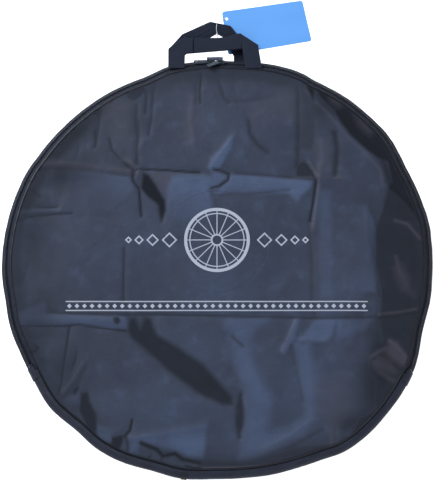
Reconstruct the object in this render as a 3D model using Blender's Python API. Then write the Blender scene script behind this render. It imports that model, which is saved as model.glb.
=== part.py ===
"""Round zipped bag for one bicycle wheel, lying flat with its front panel up.

Metres, +Z up out of the front panel, +Y towards the carrying handles. The origin is the centre
of the round back panel, on the surface that the bag lies on.
"""

import math

import bmesh
import bpy
from mathutils import Matrix, Vector

# The round body: two panels, and an edge strip that stands out past their seams.
SEAM_RADIUS = 0.3425
EDGE_BULGE = 0.0145
PANEL_THICKNESS = 0.0012
BACK_SEAM_HEIGHT = 0.0036
FRONT_SEAM_HEIGHT = 0.022
RIM_DROP = 0.002
RIM_RUN = 0.030
TURN_STEP = math.radians(5)

# Clearance between pieces that are sewn or laid together.
GAP = 0.0003
# How far a cutter or a joined shape runs past what it meets.
OVERRUN = 0.0002

# Zip tapes, the toothed coils sewn on them, and the fabric strip round the rest of the edge.
TAPE_THICKNESS = 0.0008
TAPE_SLOPE = math.radians(45)
CHAIN_MIDDLE = 0.0100
CHAIN_WIDTH = 0.0070
TAPE_SETBACK = 0.0018
KNEE_RADIUS = 0.003
KNEE_STEPS = 5
TOOTH_PITCH = 0.0061
TOOTH_HEIGHT = 0.0024
TOOTH_ROOT_HEIGHT = 0.0015
TOOTH_LEAN_SHARE = 0.30
HEAD_GAP = 0.0003
SPREAD_SETBACK = 0.0018
SPREAD_LENGTH = 0.0360
STRIP_THICKNESS = 0.0010
STRIP_STEPS = 8
STRIP_FULLNESS = 0.75

# Angles about the bag's centre, from +X, of the zip's lower right end and of what is near it.
ZIP_END = math.radians(-30)
STOP_START = math.radians(-28.1)
STOP_LENGTH = 0.0045
STOP_HEIGHT = 0.0034
TAB_LENGTH = 0.0140
TAB_THICKNESS = 0.0010
STRIP_JOIN_X = -0.052
JOIN_TAPE_WIDTH = 0.009
JOIN_TAPE_THICKNESS = 0.0009

# The fold line across the front panel, about which the unzipped part opens, above the zip's ends.
FOLD_ABOVE_ZIP_END = 0.03125
FOLD_LINE_Y = SEAM_RADIUS * math.sin(ZIP_END) + FOLD_ABOVE_ZIP_END

# Bias tape inside over both seams, and the round hub guards inside both panels.
BINDING_WIDTH = 0.010
BINDING_THICKNESS = 0.0016
BINDING_REACH = 0.0007
HUB_GUARD_RADIUS = 0.088
HUB_GUARD_THICKNESS = 0.0010
HUB_GUARD_Y = 0.042

# The two zip sliders, in their own axes: along the chain, across it, and out of it.
SLIDER_LENGTH = 0.0150
SLIDER_NOSE_SHARE = 0.62
SLIDER_PLATE = 0.0010
SLIDER_CLEARANCE = 0.0004
FLANGE_THICKNESS = 0.0011
WEB_LENGTH = 0.0050
WEB_THICKNESS = 0.0010
BACK_CLEARANCE = 0.0006
CROWN_LENGTH = 0.0055
CROWN_WIDTH = 0.0020
CROWN_WALL = 0.0009
CROWN_OPENING = 0.0020
RIGHT_SLIDER_ANGLE = math.radians(88.8)
LEFT_SLIDER_ANGLE = math.radians(91.7)

# The pull tab that hangs on each slider.
PULL_LENGTH = 0.0280
PULL_WIDTH = 0.0078
PULL_THICKNESS = 0.0012
PULL_BAR = 0.0010
PULL_EYE_LENGTH = 0.0050
PULL_EYE_WIDTH = 0.0052
PULL_TIP_HOLE = 0.0015
PULL_CORNER_SHARE = 0.30
RIGHT_PULL_TURN = math.radians(37)

# Webbing handles. Heights are those of the feet, and the reaches are measured along the webbing.
WEBBING_WIDTH = 0.0280
WEBBING_THICKNESS = 0.0018
FRONT_FOOT_TOP = 0.02405
FRONT_TILT = math.radians(11.5)
FRONT_LEFT_X = -0.0677
FRONT_RIGHT_X = 0.0621
FRONT_LEFT_REACH = 0.0585
FRONT_RIGHT_REACH = 0.0645
FRONT_FOLD_SHARE = 0.78
REAR_FOOT_BOTTOM = 0.0012
REAR_TILT = math.radians(2)
REAR_LEFT_X = -0.0677
REAR_SPAN = 0.1106
REAR_REACH = 0.0687
REAR_LINE_SHARES = (
    (0.0, 0.0),
    (0.0, 0.432),
    (0.165, 0.732),
    (0.526, 1.0),
    (0.752, 0.923),
    (1.0, 0.408),
    (1.0, 0.0),
)

# The blank care label behind the sliders.
LABEL_WIDTH = 0.027
LABEL_HEIGHT = 0.0085
LABEL_THICKNESS = 0.0006
LABEL_X = -0.003
LABEL_LEAN = math.radians(32)
LABEL_FOOT_HEIGHT = 0.0060

# The hang tag on its string. The corner is the one nearest the bag's centre line, at the top, and
# its place is given past the rear handle's grip.
TAG_LENGTH = 0.135
TAG_WIDTH = 0.076
TAG_THICKNESS = 0.0005
TAG_BOTTOM = 0.0012
TAG_CORNER_X = 0.0088
TAG_PAST_GRIP = 0.03282
TAG_TURN = math.radians(8.2)
TAG_ROUNDING = 0.004
TAG_ROUNDING_STEPS = 4
TAG_HOLE_RADIUS = 0.0025
TAG_HOLE_FROM_END = 0.006
TAG_HOLE_FROM_SIDE = 0.0135
HOLE_SIDES = 20
STRING_DIAMETER = 0.0008
STRING_STEP = 0.0020
KNOT_RADIUS = 0.0014
KNOT_CENTRE = (0.0005, 0.4035, 0.00700)
STRING_POINTS = (
    (0.00050, 0.40520, 0.00690),
    (-0.00040, 0.41100, 0.00655),
    (-0.00020, 0.41800, 0.00675),
    (0.00090, 0.42350, 0.00675),
    (0.00330, 0.42750, 0.00560),
    (0.00750, 0.43040, 0.00450),
    (0.01200, 0.43160, 0.00395),
    (0.01500, 0.43170, 0.00350),
    (0.01650, 0.43140, 0.00205),
    (0.01500, 0.43060, 0.00060),
    (0.01200, 0.42900, 0.00050),
    (0.00800, 0.42500, 0.00055),
    (0.00400, 0.41600, 0.00090),
    (0.00180, 0.40500, 0.00120),
    (0.00090, 0.39600, 0.00170),
    (0.00060, 0.39210, 0.00340),
    (0.00050, 0.39240, 0.00560),
    (0.00050, 0.39540, 0.00690),
    (0.00050, 0.40180, 0.00700),
)

COLOURS = {
    "panel_fabric": ((0.050, 0.060, 0.092), 0.55, 0.0),
    "panel_lining": ((0.030, 0.034, 0.045), 0.70, 0.0),
    "edge_fabric": ((0.032, 0.038, 0.052), 0.60, 0.0),
    "zip_tape": ((0.050, 0.060, 0.085), 0.80, 0.0),
    "zip_coil": ((0.022, 0.026, 0.026), 0.45, 0.0),
    "slider_metal": ((0.045, 0.055, 0.060), 0.35, 0.9),
    "pull_metal": ((0.190, 0.230, 0.230), 0.35, 0.9),
    "webbing": ((0.014, 0.017, 0.032), 0.75, 0.0),
    "binding": ((0.020, 0.022, 0.030), 0.80, 0.0),
    "label_satin": ((0.330, 0.330, 0.520), 0.50, 0.0),
    "tag_card": ((0.130, 0.410, 0.950), 0.45, 0.0),
    "string": ((0.850, 0.850, 0.850), 0.80, 0.0),
    "stop_metal": ((0.060, 0.065, 0.070), 0.40, 0.9),
}


def material(name):
    """The material of that name, made the first time that it is asked for."""
    found = bpy.data.materials.get(name)
    if found:
        return found
    made = bpy.data.materials.new(name)
    made.use_nodes = True
    colour, roughness, metallic = COLOURS[name]
    shader = made.node_tree.nodes["Principled BSDF"]
    shader.inputs["Base Color"].default_value = (*colour, 1)
    shader.inputs["Roughness"].default_value = roughness
    shader.inputs["Metallic"].default_value = metallic
    made.diffuse_color = (*colour, 1)
    return made


def add_object(name, bm, finish):
    """A new object with the bmesh's shape, its faces turned outwards."""
    bmesh.ops.recalc_face_normals(bm, faces=bm.faces[:])
    mesh = bpy.data.meshes.new(name)
    bm.to_mesh(mesh)
    bm.free()
    made = bpy.data.objects.new(name, mesh)
    bpy.context.scene.collection.objects.link(made)
    mesh.materials.append(material(finish))
    return made


def ring_shape(profile, start, end, step=TURN_STEP):
    """A closed profile of radius and height, spun about Z from one angle to the other."""
    bm = bmesh.new()
    cos, sin = math.cos(start), math.sin(start)
    corners = [bm.verts.new((r * cos, r * sin, z)) for r, z in profile]
    first = bm.faces.new(corners)
    steps = max(1, round((end - start) / step))
    geometry = [first] + list(first.edges) + list(first.verts)
    bmesh.ops.spin(
        bm,
        geom=geometry,
        cent=(0, 0, 0),
        axis=(0, 0, 1),
        angle=end - start,
        steps=steps,
        use_duplicate=False,
    )
    return bm


def full_ring_shape(profile):
    """A closed profile of radius and height, spun through a whole turn into a ring."""
    bm = bmesh.new()
    corners = [bm.verts.new((r, 0, z)) for r, z in profile]
    edges = [bm.edges.new((a, b)) for a, b in zip(corners, corners[1:] + corners[:1])]
    spin_full_turn(bm, corners + edges)
    return bm


def disc_shape(profile):
    """An open profile that starts and ends on the axis, spun through a whole turn."""
    bm = bmesh.new()
    corners = [bm.verts.new((r, 0, z)) for r, z in profile]
    edges = [bm.edges.new((a, b)) for a, b in zip(corners, corners[1:])]
    spin_full_turn(bm, corners + edges)
    return bm


def spin_full_turn(bm, geometry):
    bmesh.ops.spin(
        bm,
        geom=geometry,
        cent=(0, 0, 0),
        axis=(0, 0, 1),
        angle=math.tau,
        steps=round(math.tau / TURN_STEP),
        use_duplicate=False,
    )
    bmesh.ops.remove_doubles(bm, verts=bm.verts[:], dist=OVERRUN / 4)


def keep_one_side(bm, keep_upper):
    """Cuts a shape at the fold line and keeps the part above it, or the part below it."""
    side = 1 if keep_upper else -1
    bmesh.ops.bisect_plane(
        bm,
        geom=bm.verts[:] + bm.edges[:] + bm.faces[:],
        plane_co=(0, FOLD_LINE_Y + side * GAP / 2, 0),
        plane_no=(0, -side, 0),
        clear_outer=True,
    )
    rim = [edge for edge in bm.edges if edge.is_boundary]
    bmesh.ops.holes_fill(bm, edges=rim)
    return bm


def slab_shape(outline, low, high):
    """A flat outline of two coordinates, thickened from one height to the other."""
    bm = bmesh.new()
    face = bm.faces.new([bm.verts.new((x, y, low)) for x, y in outline])
    risen = bmesh.ops.extrude_face_region(bm, geom=[face])["geom"]
    tops = [item for item in risen if isinstance(item, bmesh.types.BMVert)]
    bmesh.ops.translate(bm, verts=tops, vec=(0, 0, high - low))
    return bm


def box_outline(x_low, x_high, y_low, y_high):
    return [(x_low, y_low), (x_high, y_low), (x_high, y_high), (x_low, y_high)]


def rounded_outline(x_low, x_high, y_low, y_high, radius, steps):
    """A rectangle whose four corners are quarter circles."""
    centres = (
        (x_high - radius, y_high - radius, 0),
        (x_low + radius, y_high - radius, 1),
        (x_low + radius, y_low + radius, 2),
        (x_high - radius, y_low + radius, 3),
    )
    points = []
    for x, y, quarter in centres:
        for step in range(steps + 1):
            angle = (quarter + step / steps) * math.pi / 2
            points.append((x + radius * math.cos(angle), y + radius * math.sin(angle)))
    return points


def circle_outline(x, y, radius, sides=HOLE_SIDES):
    turns = [math.tau * k / sides for k in range(sides)]
    return [(x + radius * math.cos(a), y + radius * math.sin(a)) for a in turns]


def combine(target, others, operation):
    """Joins shapes to the target, or cuts them from it, and deletes them."""
    for other in others:
        modifier = target.modifiers.new(operation.lower(), "BOOLEAN")
        modifier.operation = operation
        modifier.solver = "EXACT"
        modifier.object = other
        bpy.context.view_layer.update()
        settled = target.evaluated_get(bpy.context.evaluated_depsgraph_get())
        mesh = bpy.data.meshes.new_from_object(settled)
        target.modifiers.remove(modifier)
        old = target.data
        target.data = mesh
        bpy.data.meshes.remove(old)
        spare = other.data
        bpy.data.objects.remove(other)
        bpy.data.meshes.remove(spare)
    return target


def seat(target, matrix):
    """Places a finished shape by its object's matrix."""
    target.matrix_world = matrix
    return target


# The edge's cross-section, as radius and height.
SLOPE_OUT = Vector((math.cos(TAPE_SLOPE), -math.sin(TAPE_SLOPE)))
SLOPE_UP = Vector((math.sin(TAPE_SLOPE), math.cos(TAPE_SLOPE)))
SLOPE_START = Vector((SEAM_RADIUS + GAP, FRONT_SEAM_HEIGHT))
CHAIN_RADIUS = (SLOPE_START + CHAIN_MIDDLE * SLOPE_OUT).x


def on_slope(along, out=0):
    """The point that far down the zip's slope from the front seam, and that far out of it."""
    return SLOPE_START + along * SLOPE_OUT + out * SLOPE_UP


def offset_path(path, distance):
    """The path moved inwards by a distance, or outwards by a negative one."""
    moved = []
    for k, point in enumerate(path):
        before = point - path[k - 1] if k else path[1] - point
        after = path[k + 1] - point if k + 1 < len(path) else before
        first, second = before.normalized(), after.normalized()
        normal = Vector((first.y + second.y, -first.x - second.x)).normalized()
        mitre = normal.dot(Vector((first.y, -first.x)))
        moved.append(point + normal * (distance / mitre))
    return moved


def strip_profile(path, thickness):
    """A closed profile whose outer face is the path and whose wall lies inside it."""
    inner = offset_path(path, thickness)
    return [tuple(p) for p in path] + [tuple(p) for p in reversed(inner)]


def knee_path():
    """The back tape's outer face: down the slope, round the knee and in to the back seam."""
    start = on_slope(CHAIN_MIDDLE + TAPE_SETBACK)
    end = Vector((SEAM_RADIUS + GAP + TAPE_THICKNESS, BACK_SEAM_HEIGHT))
    centre_radius = SEAM_RADIUS + EDGE_BULGE - KNEE_RADIUS
    along = (centre_radius + KNEE_RADIUS * SLOPE_UP.x - SLOPE_START.x) / SLOPE_OUT.x
    centre = on_slope(along, -KNEE_RADIUS)
    to_end = end - centre
    first = math.atan2(SLOPE_UP.y, SLOPE_UP.x)
    last = math.atan2(to_end.y, to_end.x) + math.acos(KNEE_RADIUS / to_end.length)
    path = [start]
    for k in range(KNEE_STEPS + 1):
        angle = first + (last - first) * k / KNEE_STEPS
        path.append(centre + KNEE_RADIUS * Vector((math.cos(angle), math.sin(angle))))
    path.append(end)
    return path


def strip_path():
    """The fabric strip's outer face, bulging from the front seam round to the back seam."""
    start_radius = SEAM_RADIUS + GAP + STRIP_THICKNESS
    top = FRONT_SEAM_HEIGHT - STRIP_THICKNESS
    middle = (top + BACK_SEAM_HEIGHT) / 2
    half = (top - BACK_SEAM_HEIGHT) / 2
    bulge = SEAM_RADIUS + EDGE_BULGE - start_radius
    path = []
    for k in range(STRIP_STEPS + 1):
        angle = math.pi * k / STRIP_STEPS
        out = math.sin(angle) ** STRIP_FULLNESS if 0 < k < STRIP_STEPS else 0
        path.append(Vector((start_radius + bulge * out, middle + half * math.cos(angle))))
    return path


def cover_path(thickness):
    """The outer face of a patch that thick, sewn over the strip between its two seams."""
    return offset_path(strip_path(), -GAP - thickness)[1:-1]


def mirrored(bm):
    """The same shape on the other side of the bag's centre line."""
    bmesh.ops.scale(bm, vec=(-1, 1, 1), verts=bm.verts[:])
    return bm


def back_panel():
    add_object(
        "back_panel",
        disc_shape(
            [(0, 0), (SEAM_RADIUS, 0), (SEAM_RADIUS, PANEL_THICKNESS), (0, PANEL_THICKNESS)]
        ),
        "panel_fabric",
    )


FRONT_TOP = FRONT_SEAM_HEIGHT + RIM_DROP


def front_panel_shape():
    """The front panel: flat in the middle, sloping down round its rim to the seam."""
    flat = SEAM_RADIUS - RIM_RUN
    return disc_shape(
        [
            (0, FRONT_TOP),
            (flat, FRONT_TOP),
            (SEAM_RADIUS, FRONT_SEAM_HEIGHT),
            (SEAM_RADIUS, FRONT_SEAM_HEIGHT - PANEL_THICKNESS),
            (flat, FRONT_TOP - PANEL_THICKNESS),
            (0, FRONT_TOP - PANEL_THICKNESS),
        ]
    )


def front_panels():
    add_object("front_panel_upper", keep_one_side(front_panel_shape(), True), "panel_fabric")
    add_object("front_panel_lower", keep_one_side(front_panel_shape(), False), "panel_fabric")


def hub_guards():
    for name, low in (
        ("back_hub_guard", PANEL_THICKNESS + GAP),
        ("front_hub_guard", FRONT_TOP - PANEL_THICKNESS - GAP - HUB_GUARD_THICKNESS),
    ):
        high = low + HUB_GUARD_THICKNESS
        sides = round(math.tau / TURN_STEP) // 2
        outline = circle_outline(0, HUB_GUARD_Y, HUB_GUARD_RADIUS, sides)
        add_object(name, slab_shape(outline, low, high), "panel_lining")


def seam_bindings():
    """Bias tape over the seam allowances, under the front panel's rim and on the back panel."""
    outer = SEAM_RADIUS + BINDING_REACH
    inner = outer - BINDING_WIDTH
    low = PANEL_THICKNESS + GAP
    back = [(inner, low), (outer, low), (outer, low + BINDING_THICKNESS)]
    back.append((inner, low + BINDING_THICKNESS))
    add_object("back_seam_binding", full_ring_shape(back), "binding")
    slope = RIM_DROP / RIM_RUN
    outer = SEAM_RADIUS - GAP
    inner = outer - BINDING_WIDTH
    under = FRONT_SEAM_HEIGHT - PANEL_THICKNESS - GAP
    inner_under = under + slope * (SEAM_RADIUS - inner)
    front = [(inner, inner_under), (outer, under), (outer, under - BINDING_THICKNESS)]
    front.append((inner, inner_under - BINDING_THICKNESS))
    for name, upper in (("front_seam_binding_upper", True), ("front_seam_binding_lower", False)):
        add_object(name, keep_one_side(full_ring_shape(front), upper), "binding")


def zip_tapes():
    """The front tape, cut at the fold line, and the back tape with its knee."""
    start = on_slope(TAPE_THICKNESS)
    path = [start, on_slope(CHAIN_MIDDLE - TAPE_SETBACK)]
    profile = strip_profile(path, TAPE_THICKNESS)
    other_end = math.pi - ZIP_END
    upper = keep_one_side(ring_shape(profile, ZIP_END, other_end), True)
    add_object("front_zip_tape", upper, "zip_tape")
    for name, turn in (("front_zip_tape_end_right", False), ("front_zip_tape_end_left", True)):
        shape = keep_one_side(ring_shape(profile, ZIP_END, 0), False)
        add_object(name, mirrored(shape) if turn else shape, "zip_tape")
    profile = strip_profile(knee_path(), TAPE_THICKNESS)
    add_object("back_zip_tape", ring_shape(profile, ZIP_END, other_end), "zip_tape")


def toothed_rail(side, start, end, setback=None):
    """One row of coil: a rail on the tape whose top rises and falls once for each tooth.

    side is 1 for the row on the front tape and -1 for the one on the back tape. setback gives,
    for an angle, how far the heads stand back from the chain's middle.
    """
    bm = bmesh.new()
    pitch = TOOTH_PITCH / CHAIN_RADIUS
    count = max(2, 2 * round((end - start) / pitch))
    lean = TOOTH_LEAN_SHARE * pitch
    shift = 0 if side > 0 else 1
    rows = []
    for k in range(count + 1):
        angle = start + (end - start) * k / count
        head = setback(angle) if setback else HEAD_GAP / 2
        raised = (k + shift) % 2 == 1 and 0 < k < count
        top = TOOTH_HEIGHT if raised else TOOTH_ROOT_HEIGHT
        slide = lean if 0 < k < count else 0
        near, far = CHAIN_MIDDLE - side * head, CHAIN_MIDDLE - side * CHAIN_WIDTH / 2
        section = ((near, GAP, 0), (far, GAP, 0), (far, top, -slide), (near, top, slide))
        row = []
        for along, out, turn in section:
            radius, height = on_slope(along, out)
            place = angle + side * turn / 2
            row.append(bm.verts.new((radius * math.cos(place), radius * math.sin(place), height)))
        rows.append(row)
    for before, after in zip(rows, rows[1:]):
        for a, b in ((0, 1), (1, 2), (2, 3), (3, 0)):
            bm.faces.new((before[a], before[b], after[b], after[a]))
    bm.faces.new(rows[0])
    bm.faces.new(rows[-1])
    return bm


def spread_heads(angle):
    """The front row's heads stand back where the sliders hold the two rows apart."""
    middle = (RIGHT_SLIDER_ANGLE + LEFT_SLIDER_ANGLE) / 2
    near_sliders = abs(angle - middle) < SPREAD_LENGTH / CHAIN_RADIUS / 2
    return SPREAD_SETBACK if near_sliders else HEAD_GAP / 2


def ends_heads(angle):
    """Near the zip's ends the front row's heads stand back all the way."""
    return SPREAD_SETBACK


def zip_teeth():
    last = STOP_START + GAP / CHAIN_RADIUS
    other_last = math.pi - last
    upper = keep_one_side(toothed_rail(1, last, other_last, spread_heads), True)
    add_object("front_zip_teeth", upper, "zip_coil")
    for name, turn in (("front_zip_teeth_end_right", False), ("front_zip_teeth_end_left", True)):
        shape = keep_one_side(toothed_rail(1, last, 0, ends_heads), False)
        add_object(name, mirrored(shape) if turn else shape, "zip_coil")
    add_object("back_zip_teeth", toothed_rail(-1, last, other_last), "zip_coil")


def zip_stops():
    """A crimped stop over both rows at each end of the chain."""
    half = CHAIN_WIDTH / 2 + SLIDER_CLEARANCE
    profile = [
        tuple(on_slope(CHAIN_MIDDLE + half, GAP)),
        tuple(on_slope(CHAIN_MIDDLE + half, STOP_HEIGHT - GAP)),
        tuple(on_slope(CHAIN_MIDDLE + half / 2, STOP_HEIGHT)),
        tuple(on_slope(CHAIN_MIDDLE - half / 2, STOP_HEIGHT)),
        tuple(on_slope(CHAIN_MIDDLE - half, STOP_HEIGHT - GAP)),
        tuple(on_slope(CHAIN_MIDDLE - half, GAP)),
    ]
    span = STOP_LENGTH / CHAIN_RADIUS
    for name, turn in (("zip_stop_right", False), ("zip_stop_left", True)):
        shape = ring_shape(profile, STOP_START - span, STOP_START, span)
        add_object(name, mirrored(shape) if turn else shape, "stop_metal")


def edge_strip():
    """The fabric strip below the zip in two lengths, the tabs over its ends, and its join."""
    profile = strip_profile(strip_path(), STRIP_THICKNESS)
    seam_gap = GAP / SEAM_RADIUS
    join = -math.pi / 2 + math.asin(STRIP_JOIN_X / SEAM_RADIUS)
    right = ring_shape(profile, join + seam_gap / 2, ZIP_END - seam_gap)
    add_object("edge_strip_right", right, "edge_fabric")
    left = ring_shape(profile, -math.pi - ZIP_END + seam_gap, join - seam_gap / 2)
    add_object("edge_strip_left", left, "edge_fabric")

    cover = strip_profile(cover_path(TAB_THICKNESS), TAB_THICKNESS)
    span = TAB_LENGTH / SEAM_RADIUS
    for name, turn in (("zip_end_tab_right", False), ("zip_end_tab_left", True)):
        shape = ring_shape(cover, ZIP_END - span, ZIP_END - seam_gap, span / 2)
        add_object(name, mirrored(shape) if turn else shape, "edge_fabric")

    cover = strip_profile(cover_path(JOIN_TAPE_THICKNESS), JOIN_TAPE_THICKNESS)
    span = JOIN_TAPE_WIDTH / SEAM_RADIUS
    shape = ring_shape(cover, join - span / 2, join + span / 2, span)
    add_object("edge_join_tape", shape, "binding")


def chain_matrix(angle):
    """Axes at a place on the chain: along it, in towards the front panel, and out of the tape."""
    cos, sin = math.cos(angle), math.sin(angle)
    radius, height = on_slope(CHAIN_MIDDLE)
    along = Vector((-sin, cos, 0))
    inward = Vector((-SLOPE_OUT.x * cos, -SLOPE_OUT.x * sin, -SLOPE_OUT.y))
    out = Vector((SLOPE_UP.x * cos, SLOPE_UP.x * sin, SLOPE_UP.y))
    matrix = Matrix((along, inward, out)).transposed().to_4x4()
    matrix.translation = (radius * cos, radius * sin, height)
    return matrix


# Heights in a slider, above the outer face of the tape.
PLATE_LOW = TOOTH_HEIGHT + SLIDER_CLEARANCE
PLATE_TOP = PLATE_LOW + SLIDER_PLATE
PLATE_BACK = -TAPE_THICKNESS - BACK_CLEARANCE
FLANGE_INSIDE = CHAIN_WIDTH / 2 + SLIDER_CLEARANCE
SLIDER_HALF_WIDTH = FLANGE_INSIDE + FLANGE_THICKNESS
PIVOT_HEIGHT = PLATE_TOP + CROWN_OPENING / 2


def slider_plate_outline(nose):
    """A plate that narrows to its nose, which points along the chain or against it."""
    half, wide = SLIDER_LENGTH / 2, SLIDER_HALF_WIDTH
    slim = wide * SLIDER_NOSE_SHARE
    shoulder = half * SLIDER_NOSE_SHARE
    points = [(-half, -wide), (shoulder, -wide), (half, -slim)]
    points += [(half, slim), (shoulder, wide), (-half, wide)]
    if nose < 0:
        points = [(-x, y) for x, y in reversed(points)]
    return points


def slider(name, angle, nose):
    """Top plate with flanges, the web between the tapes, the back plate and the crown."""
    half = SLIDER_LENGTH / 2
    shoulder = half * SLIDER_NOSE_SHARE
    body = add_object(
        name, slab_shape(slider_plate_outline(nose), PLATE_LOW, PLATE_TOP), "slider_metal"
    )
    parts = [slab_shape(slider_plate_outline(nose), PLATE_BACK - SLIDER_PLATE, PLATE_BACK)]
    ends = (-half, shoulder) if nose > 0 else (-shoulder, half)
    for low, high in (
        (-SLIDER_HALF_WIDTH, -FLANGE_INSIDE),
        (FLANGE_INSIDE, SLIDER_HALF_WIDTH),
    ):
        outline = box_outline(*ends, low, high)
        parts.append(slab_shape(outline, SLIDER_CLEARANCE, PLATE_LOW + OVERRUN))
    web_low = HEAD_GAP
    web = box_outline(-WEB_LENGTH / 2, WEB_LENGTH / 2, web_low, web_low + WEB_THICKNESS)
    parts.append(slab_shape(web, PLATE_BACK - OVERRUN, PLATE_LOW + OVERRUN))
    top = PLATE_TOP + CROWN_OPENING
    leg = CROWN_LENGTH / 2
    for low, high in ((-leg, CROWN_WALL - leg), (leg - CROWN_WALL, leg)):
        outline = box_outline(low, high, -CROWN_WIDTH / 2, CROWN_WIDTH / 2)
        parts.append(slab_shape(outline, PLATE_TOP - OVERRUN, top + OVERRUN))
    beam = rounded_outline(
        -leg, leg, -CROWN_WIDTH / 2, CROWN_WIDTH / 2, CROWN_WIDTH * PULL_CORNER_SHARE, 2
    )
    parts.append(slab_shape(beam, top, top + CROWN_WALL))
    combine(body, [add_object("slider_piece", part, "slider_metal") for part in parts], "UNION")
    return seat(body, chain_matrix(angle))


def pull_matrix(angle, turn):
    """Axes of a pull tab lying on its slider: out along the tab, across it, and out of it."""
    pivot = Matrix.Translation((0, 0, PIVOT_HEIGHT))
    return chain_matrix(angle) @ pivot @ Matrix.Rotation(turn, 4, "Z")


def pull_tab(name, matrix):
    """A flat tab: an eye whose end bar lies under the slider's crown, and a holed tip."""
    start = -PULL_BAR / 2
    side = PULL_WIDTH / 2
    half = PULL_THICKNESS / 2
    corner = PULL_WIDTH * PULL_CORNER_SHARE
    outline = rounded_outline(start, PULL_LENGTH, -side, side, corner, 3)
    tab = add_object(name, slab_shape(outline, -half, half), "pull_metal")
    eye = box_outline(
        PULL_BAR / 2, PULL_BAR / 2 + PULL_EYE_LENGTH, -PULL_EYE_WIDTH / 2, PULL_EYE_WIDTH / 2
    )
    tip = circle_outline(PULL_LENGTH - side, 0, PULL_TIP_HOLE, HOLE_SIDES // 2)
    cutters = [slab_shape(shape, -half - OVERRUN, half + OVERRUN) for shape in (eye, tip)]
    combine(tab, [add_object("hole", cutter, "pull_metal") for cutter in cutters], "DIFFERENCE")
    return seat(tab, matrix)


def zip_sliders():
    slider("slider_right", RIGHT_SLIDER_ANGLE, -1)
    slider("slider_left", LEFT_SLIDER_ANGLE, 1)
    pull_tab("pull_tab_right", pull_matrix(RIGHT_SLIDER_ANGLE, RIGHT_PULL_TURN))
    pull_tab("pull_tab_left", pull_matrix(LEFT_SLIDER_ANGLE, 0))


def foot_y(radius, leg_x):
    """Where a leg's straight foot clears a circle, at the leg's side nearest the middle."""
    inner = abs(leg_x) - WEBBING_WIDTH / 2
    return math.sqrt(radius**2 - inner**2) + GAP


FRONT_FOOT_Y = foot_y(SEAM_RADIUS + TAPE_THICKNESS, FRONT_RIGHT_X)
REAR_FOOT_Y = foot_y(SEAM_RADIUS + BINDING_REACH, REAR_LEFT_X + REAR_SPAN)


def front_handle():
    """One length of webbing: two legs folded over the ends of the grip between them."""
    half = WEBBING_WIDTH / 2
    left_in, left_out = FRONT_LEFT_X + half, FRONT_LEFT_X - half
    right_in, right_out = FRONT_RIGHT_X - half, FRONT_RIGHT_X + half
    drop = WEBBING_WIDTH * FRONT_FOLD_SHARE
    left_top, right_top = FRONT_LEFT_REACH, FRONT_RIGHT_REACH
    grip = [
        (left_out, left_top - WEBBING_WIDTH),
        (right_out, right_top - WEBBING_WIDTH),
        (right_out, right_top - drop),
        (right_in, right_top),
        (left_in, left_top),
        (left_out, left_top - drop),
    ]
    legs = (
        [(left_out, 0), (left_in, 0), (left_in, left_top), (left_out, left_top - drop)],
        [(right_in, 0), (right_out, 0), (right_out, right_top - drop), (right_in, right_top)],
    )
    under = -WEBBING_THICKNESS
    handle = add_object(
        "front_handle", slab_shape(grip, 2 * under, under + OVERRUN / 2), "webbing"
    )
    pieces = [add_object("leg", slab_shape(leg, under, 0), "webbing") for leg in legs]
    combine(handle, pieces, "UNION")
    turn = Matrix.Rotation(-FRONT_TILT, 4, "X")
    return seat(handle, Matrix.Translation((0, FRONT_FOOT_Y, FRONT_FOOT_TOP)) @ turn)


def band_outline(points, width):
    """The outline of a band of even width along a line of points, mitred at its bends."""
    left, right = [], []
    for k, point in enumerate(points):
        before = point - points[k - 1] if k else points[1] - point
        after = points[k + 1] - point if k + 1 < len(points) else before
        first, second = before.normalized(), after.normalized()
        normal = Vector((-first.y - second.y, first.x + second.x)).normalized()
        reach = width / 2 / normal.dot(Vector((-first.y, first.x)))
        left.append(tuple(point + normal * reach))
        right.append(tuple(point - normal * reach))
    return left + right[::-1]


def rear_handle():
    line = [Vector((REAR_LEFT_X + x * REAR_SPAN, y * REAR_REACH)) for x, y in REAR_LINE_SHARES]
    outline = band_outline(line, WEBBING_WIDTH)
    handle = add_object("rear_handle", slab_shape(outline, 0, WEBBING_THICKNESS), "webbing")
    turn = Matrix.Rotation(REAR_TILT, 4, "X")
    return seat(handle, Matrix.Translation((0, REAR_FOOT_Y, REAR_FOOT_BOTTOM)) @ turn)


def care_label():
    """A blank satin label that stands off the back tape behind the sliders."""
    foot = SEAM_RADIUS + EDGE_BULGE + GAP
    outline = box_outline(LABEL_X - LABEL_WIDTH / 2, LABEL_X + LABEL_WIDTH / 2, 0, LABEL_HEIGHT)
    label = add_object("care_label", slab_shape(outline, -LABEL_THICKNESS, 0), "label_satin")
    turn = Matrix.Rotation(math.pi / 2 - LABEL_LEAN, 4, "X")
    return seat(label, Matrix.Translation((0, foot, LABEL_FOOT_HEIGHT)) @ turn)


def hang_tag():
    """A plain card with rounded corners, punched near one corner."""
    outline = rounded_outline(0, TAG_LENGTH, -TAG_WIDTH, 0, TAG_ROUNDING, TAG_ROUNDING_STEPS)
    card = add_object("hang_tag", slab_shape(outline, 0, TAG_THICKNESS), "tag_card")
    hole = circle_outline(TAG_HOLE_FROM_END, -TAG_HOLE_FROM_SIDE, TAG_HOLE_RADIUS)
    cutter = add_object("hole", slab_shape(hole, -OVERRUN, TAG_THICKNESS + OVERRUN), "tag_card")
    combine(card, [cutter], "DIFFERENCE")
    corner_y = REAR_FOOT_Y + REAR_REACH + TAG_PAST_GRIP
    corner = Matrix.Translation((TAG_CORNER_X, corner_y, TAG_BOTTOM))
    return seat(card, corner @ Matrix.Rotation(TAG_TURN, 4, "Z"))


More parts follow.
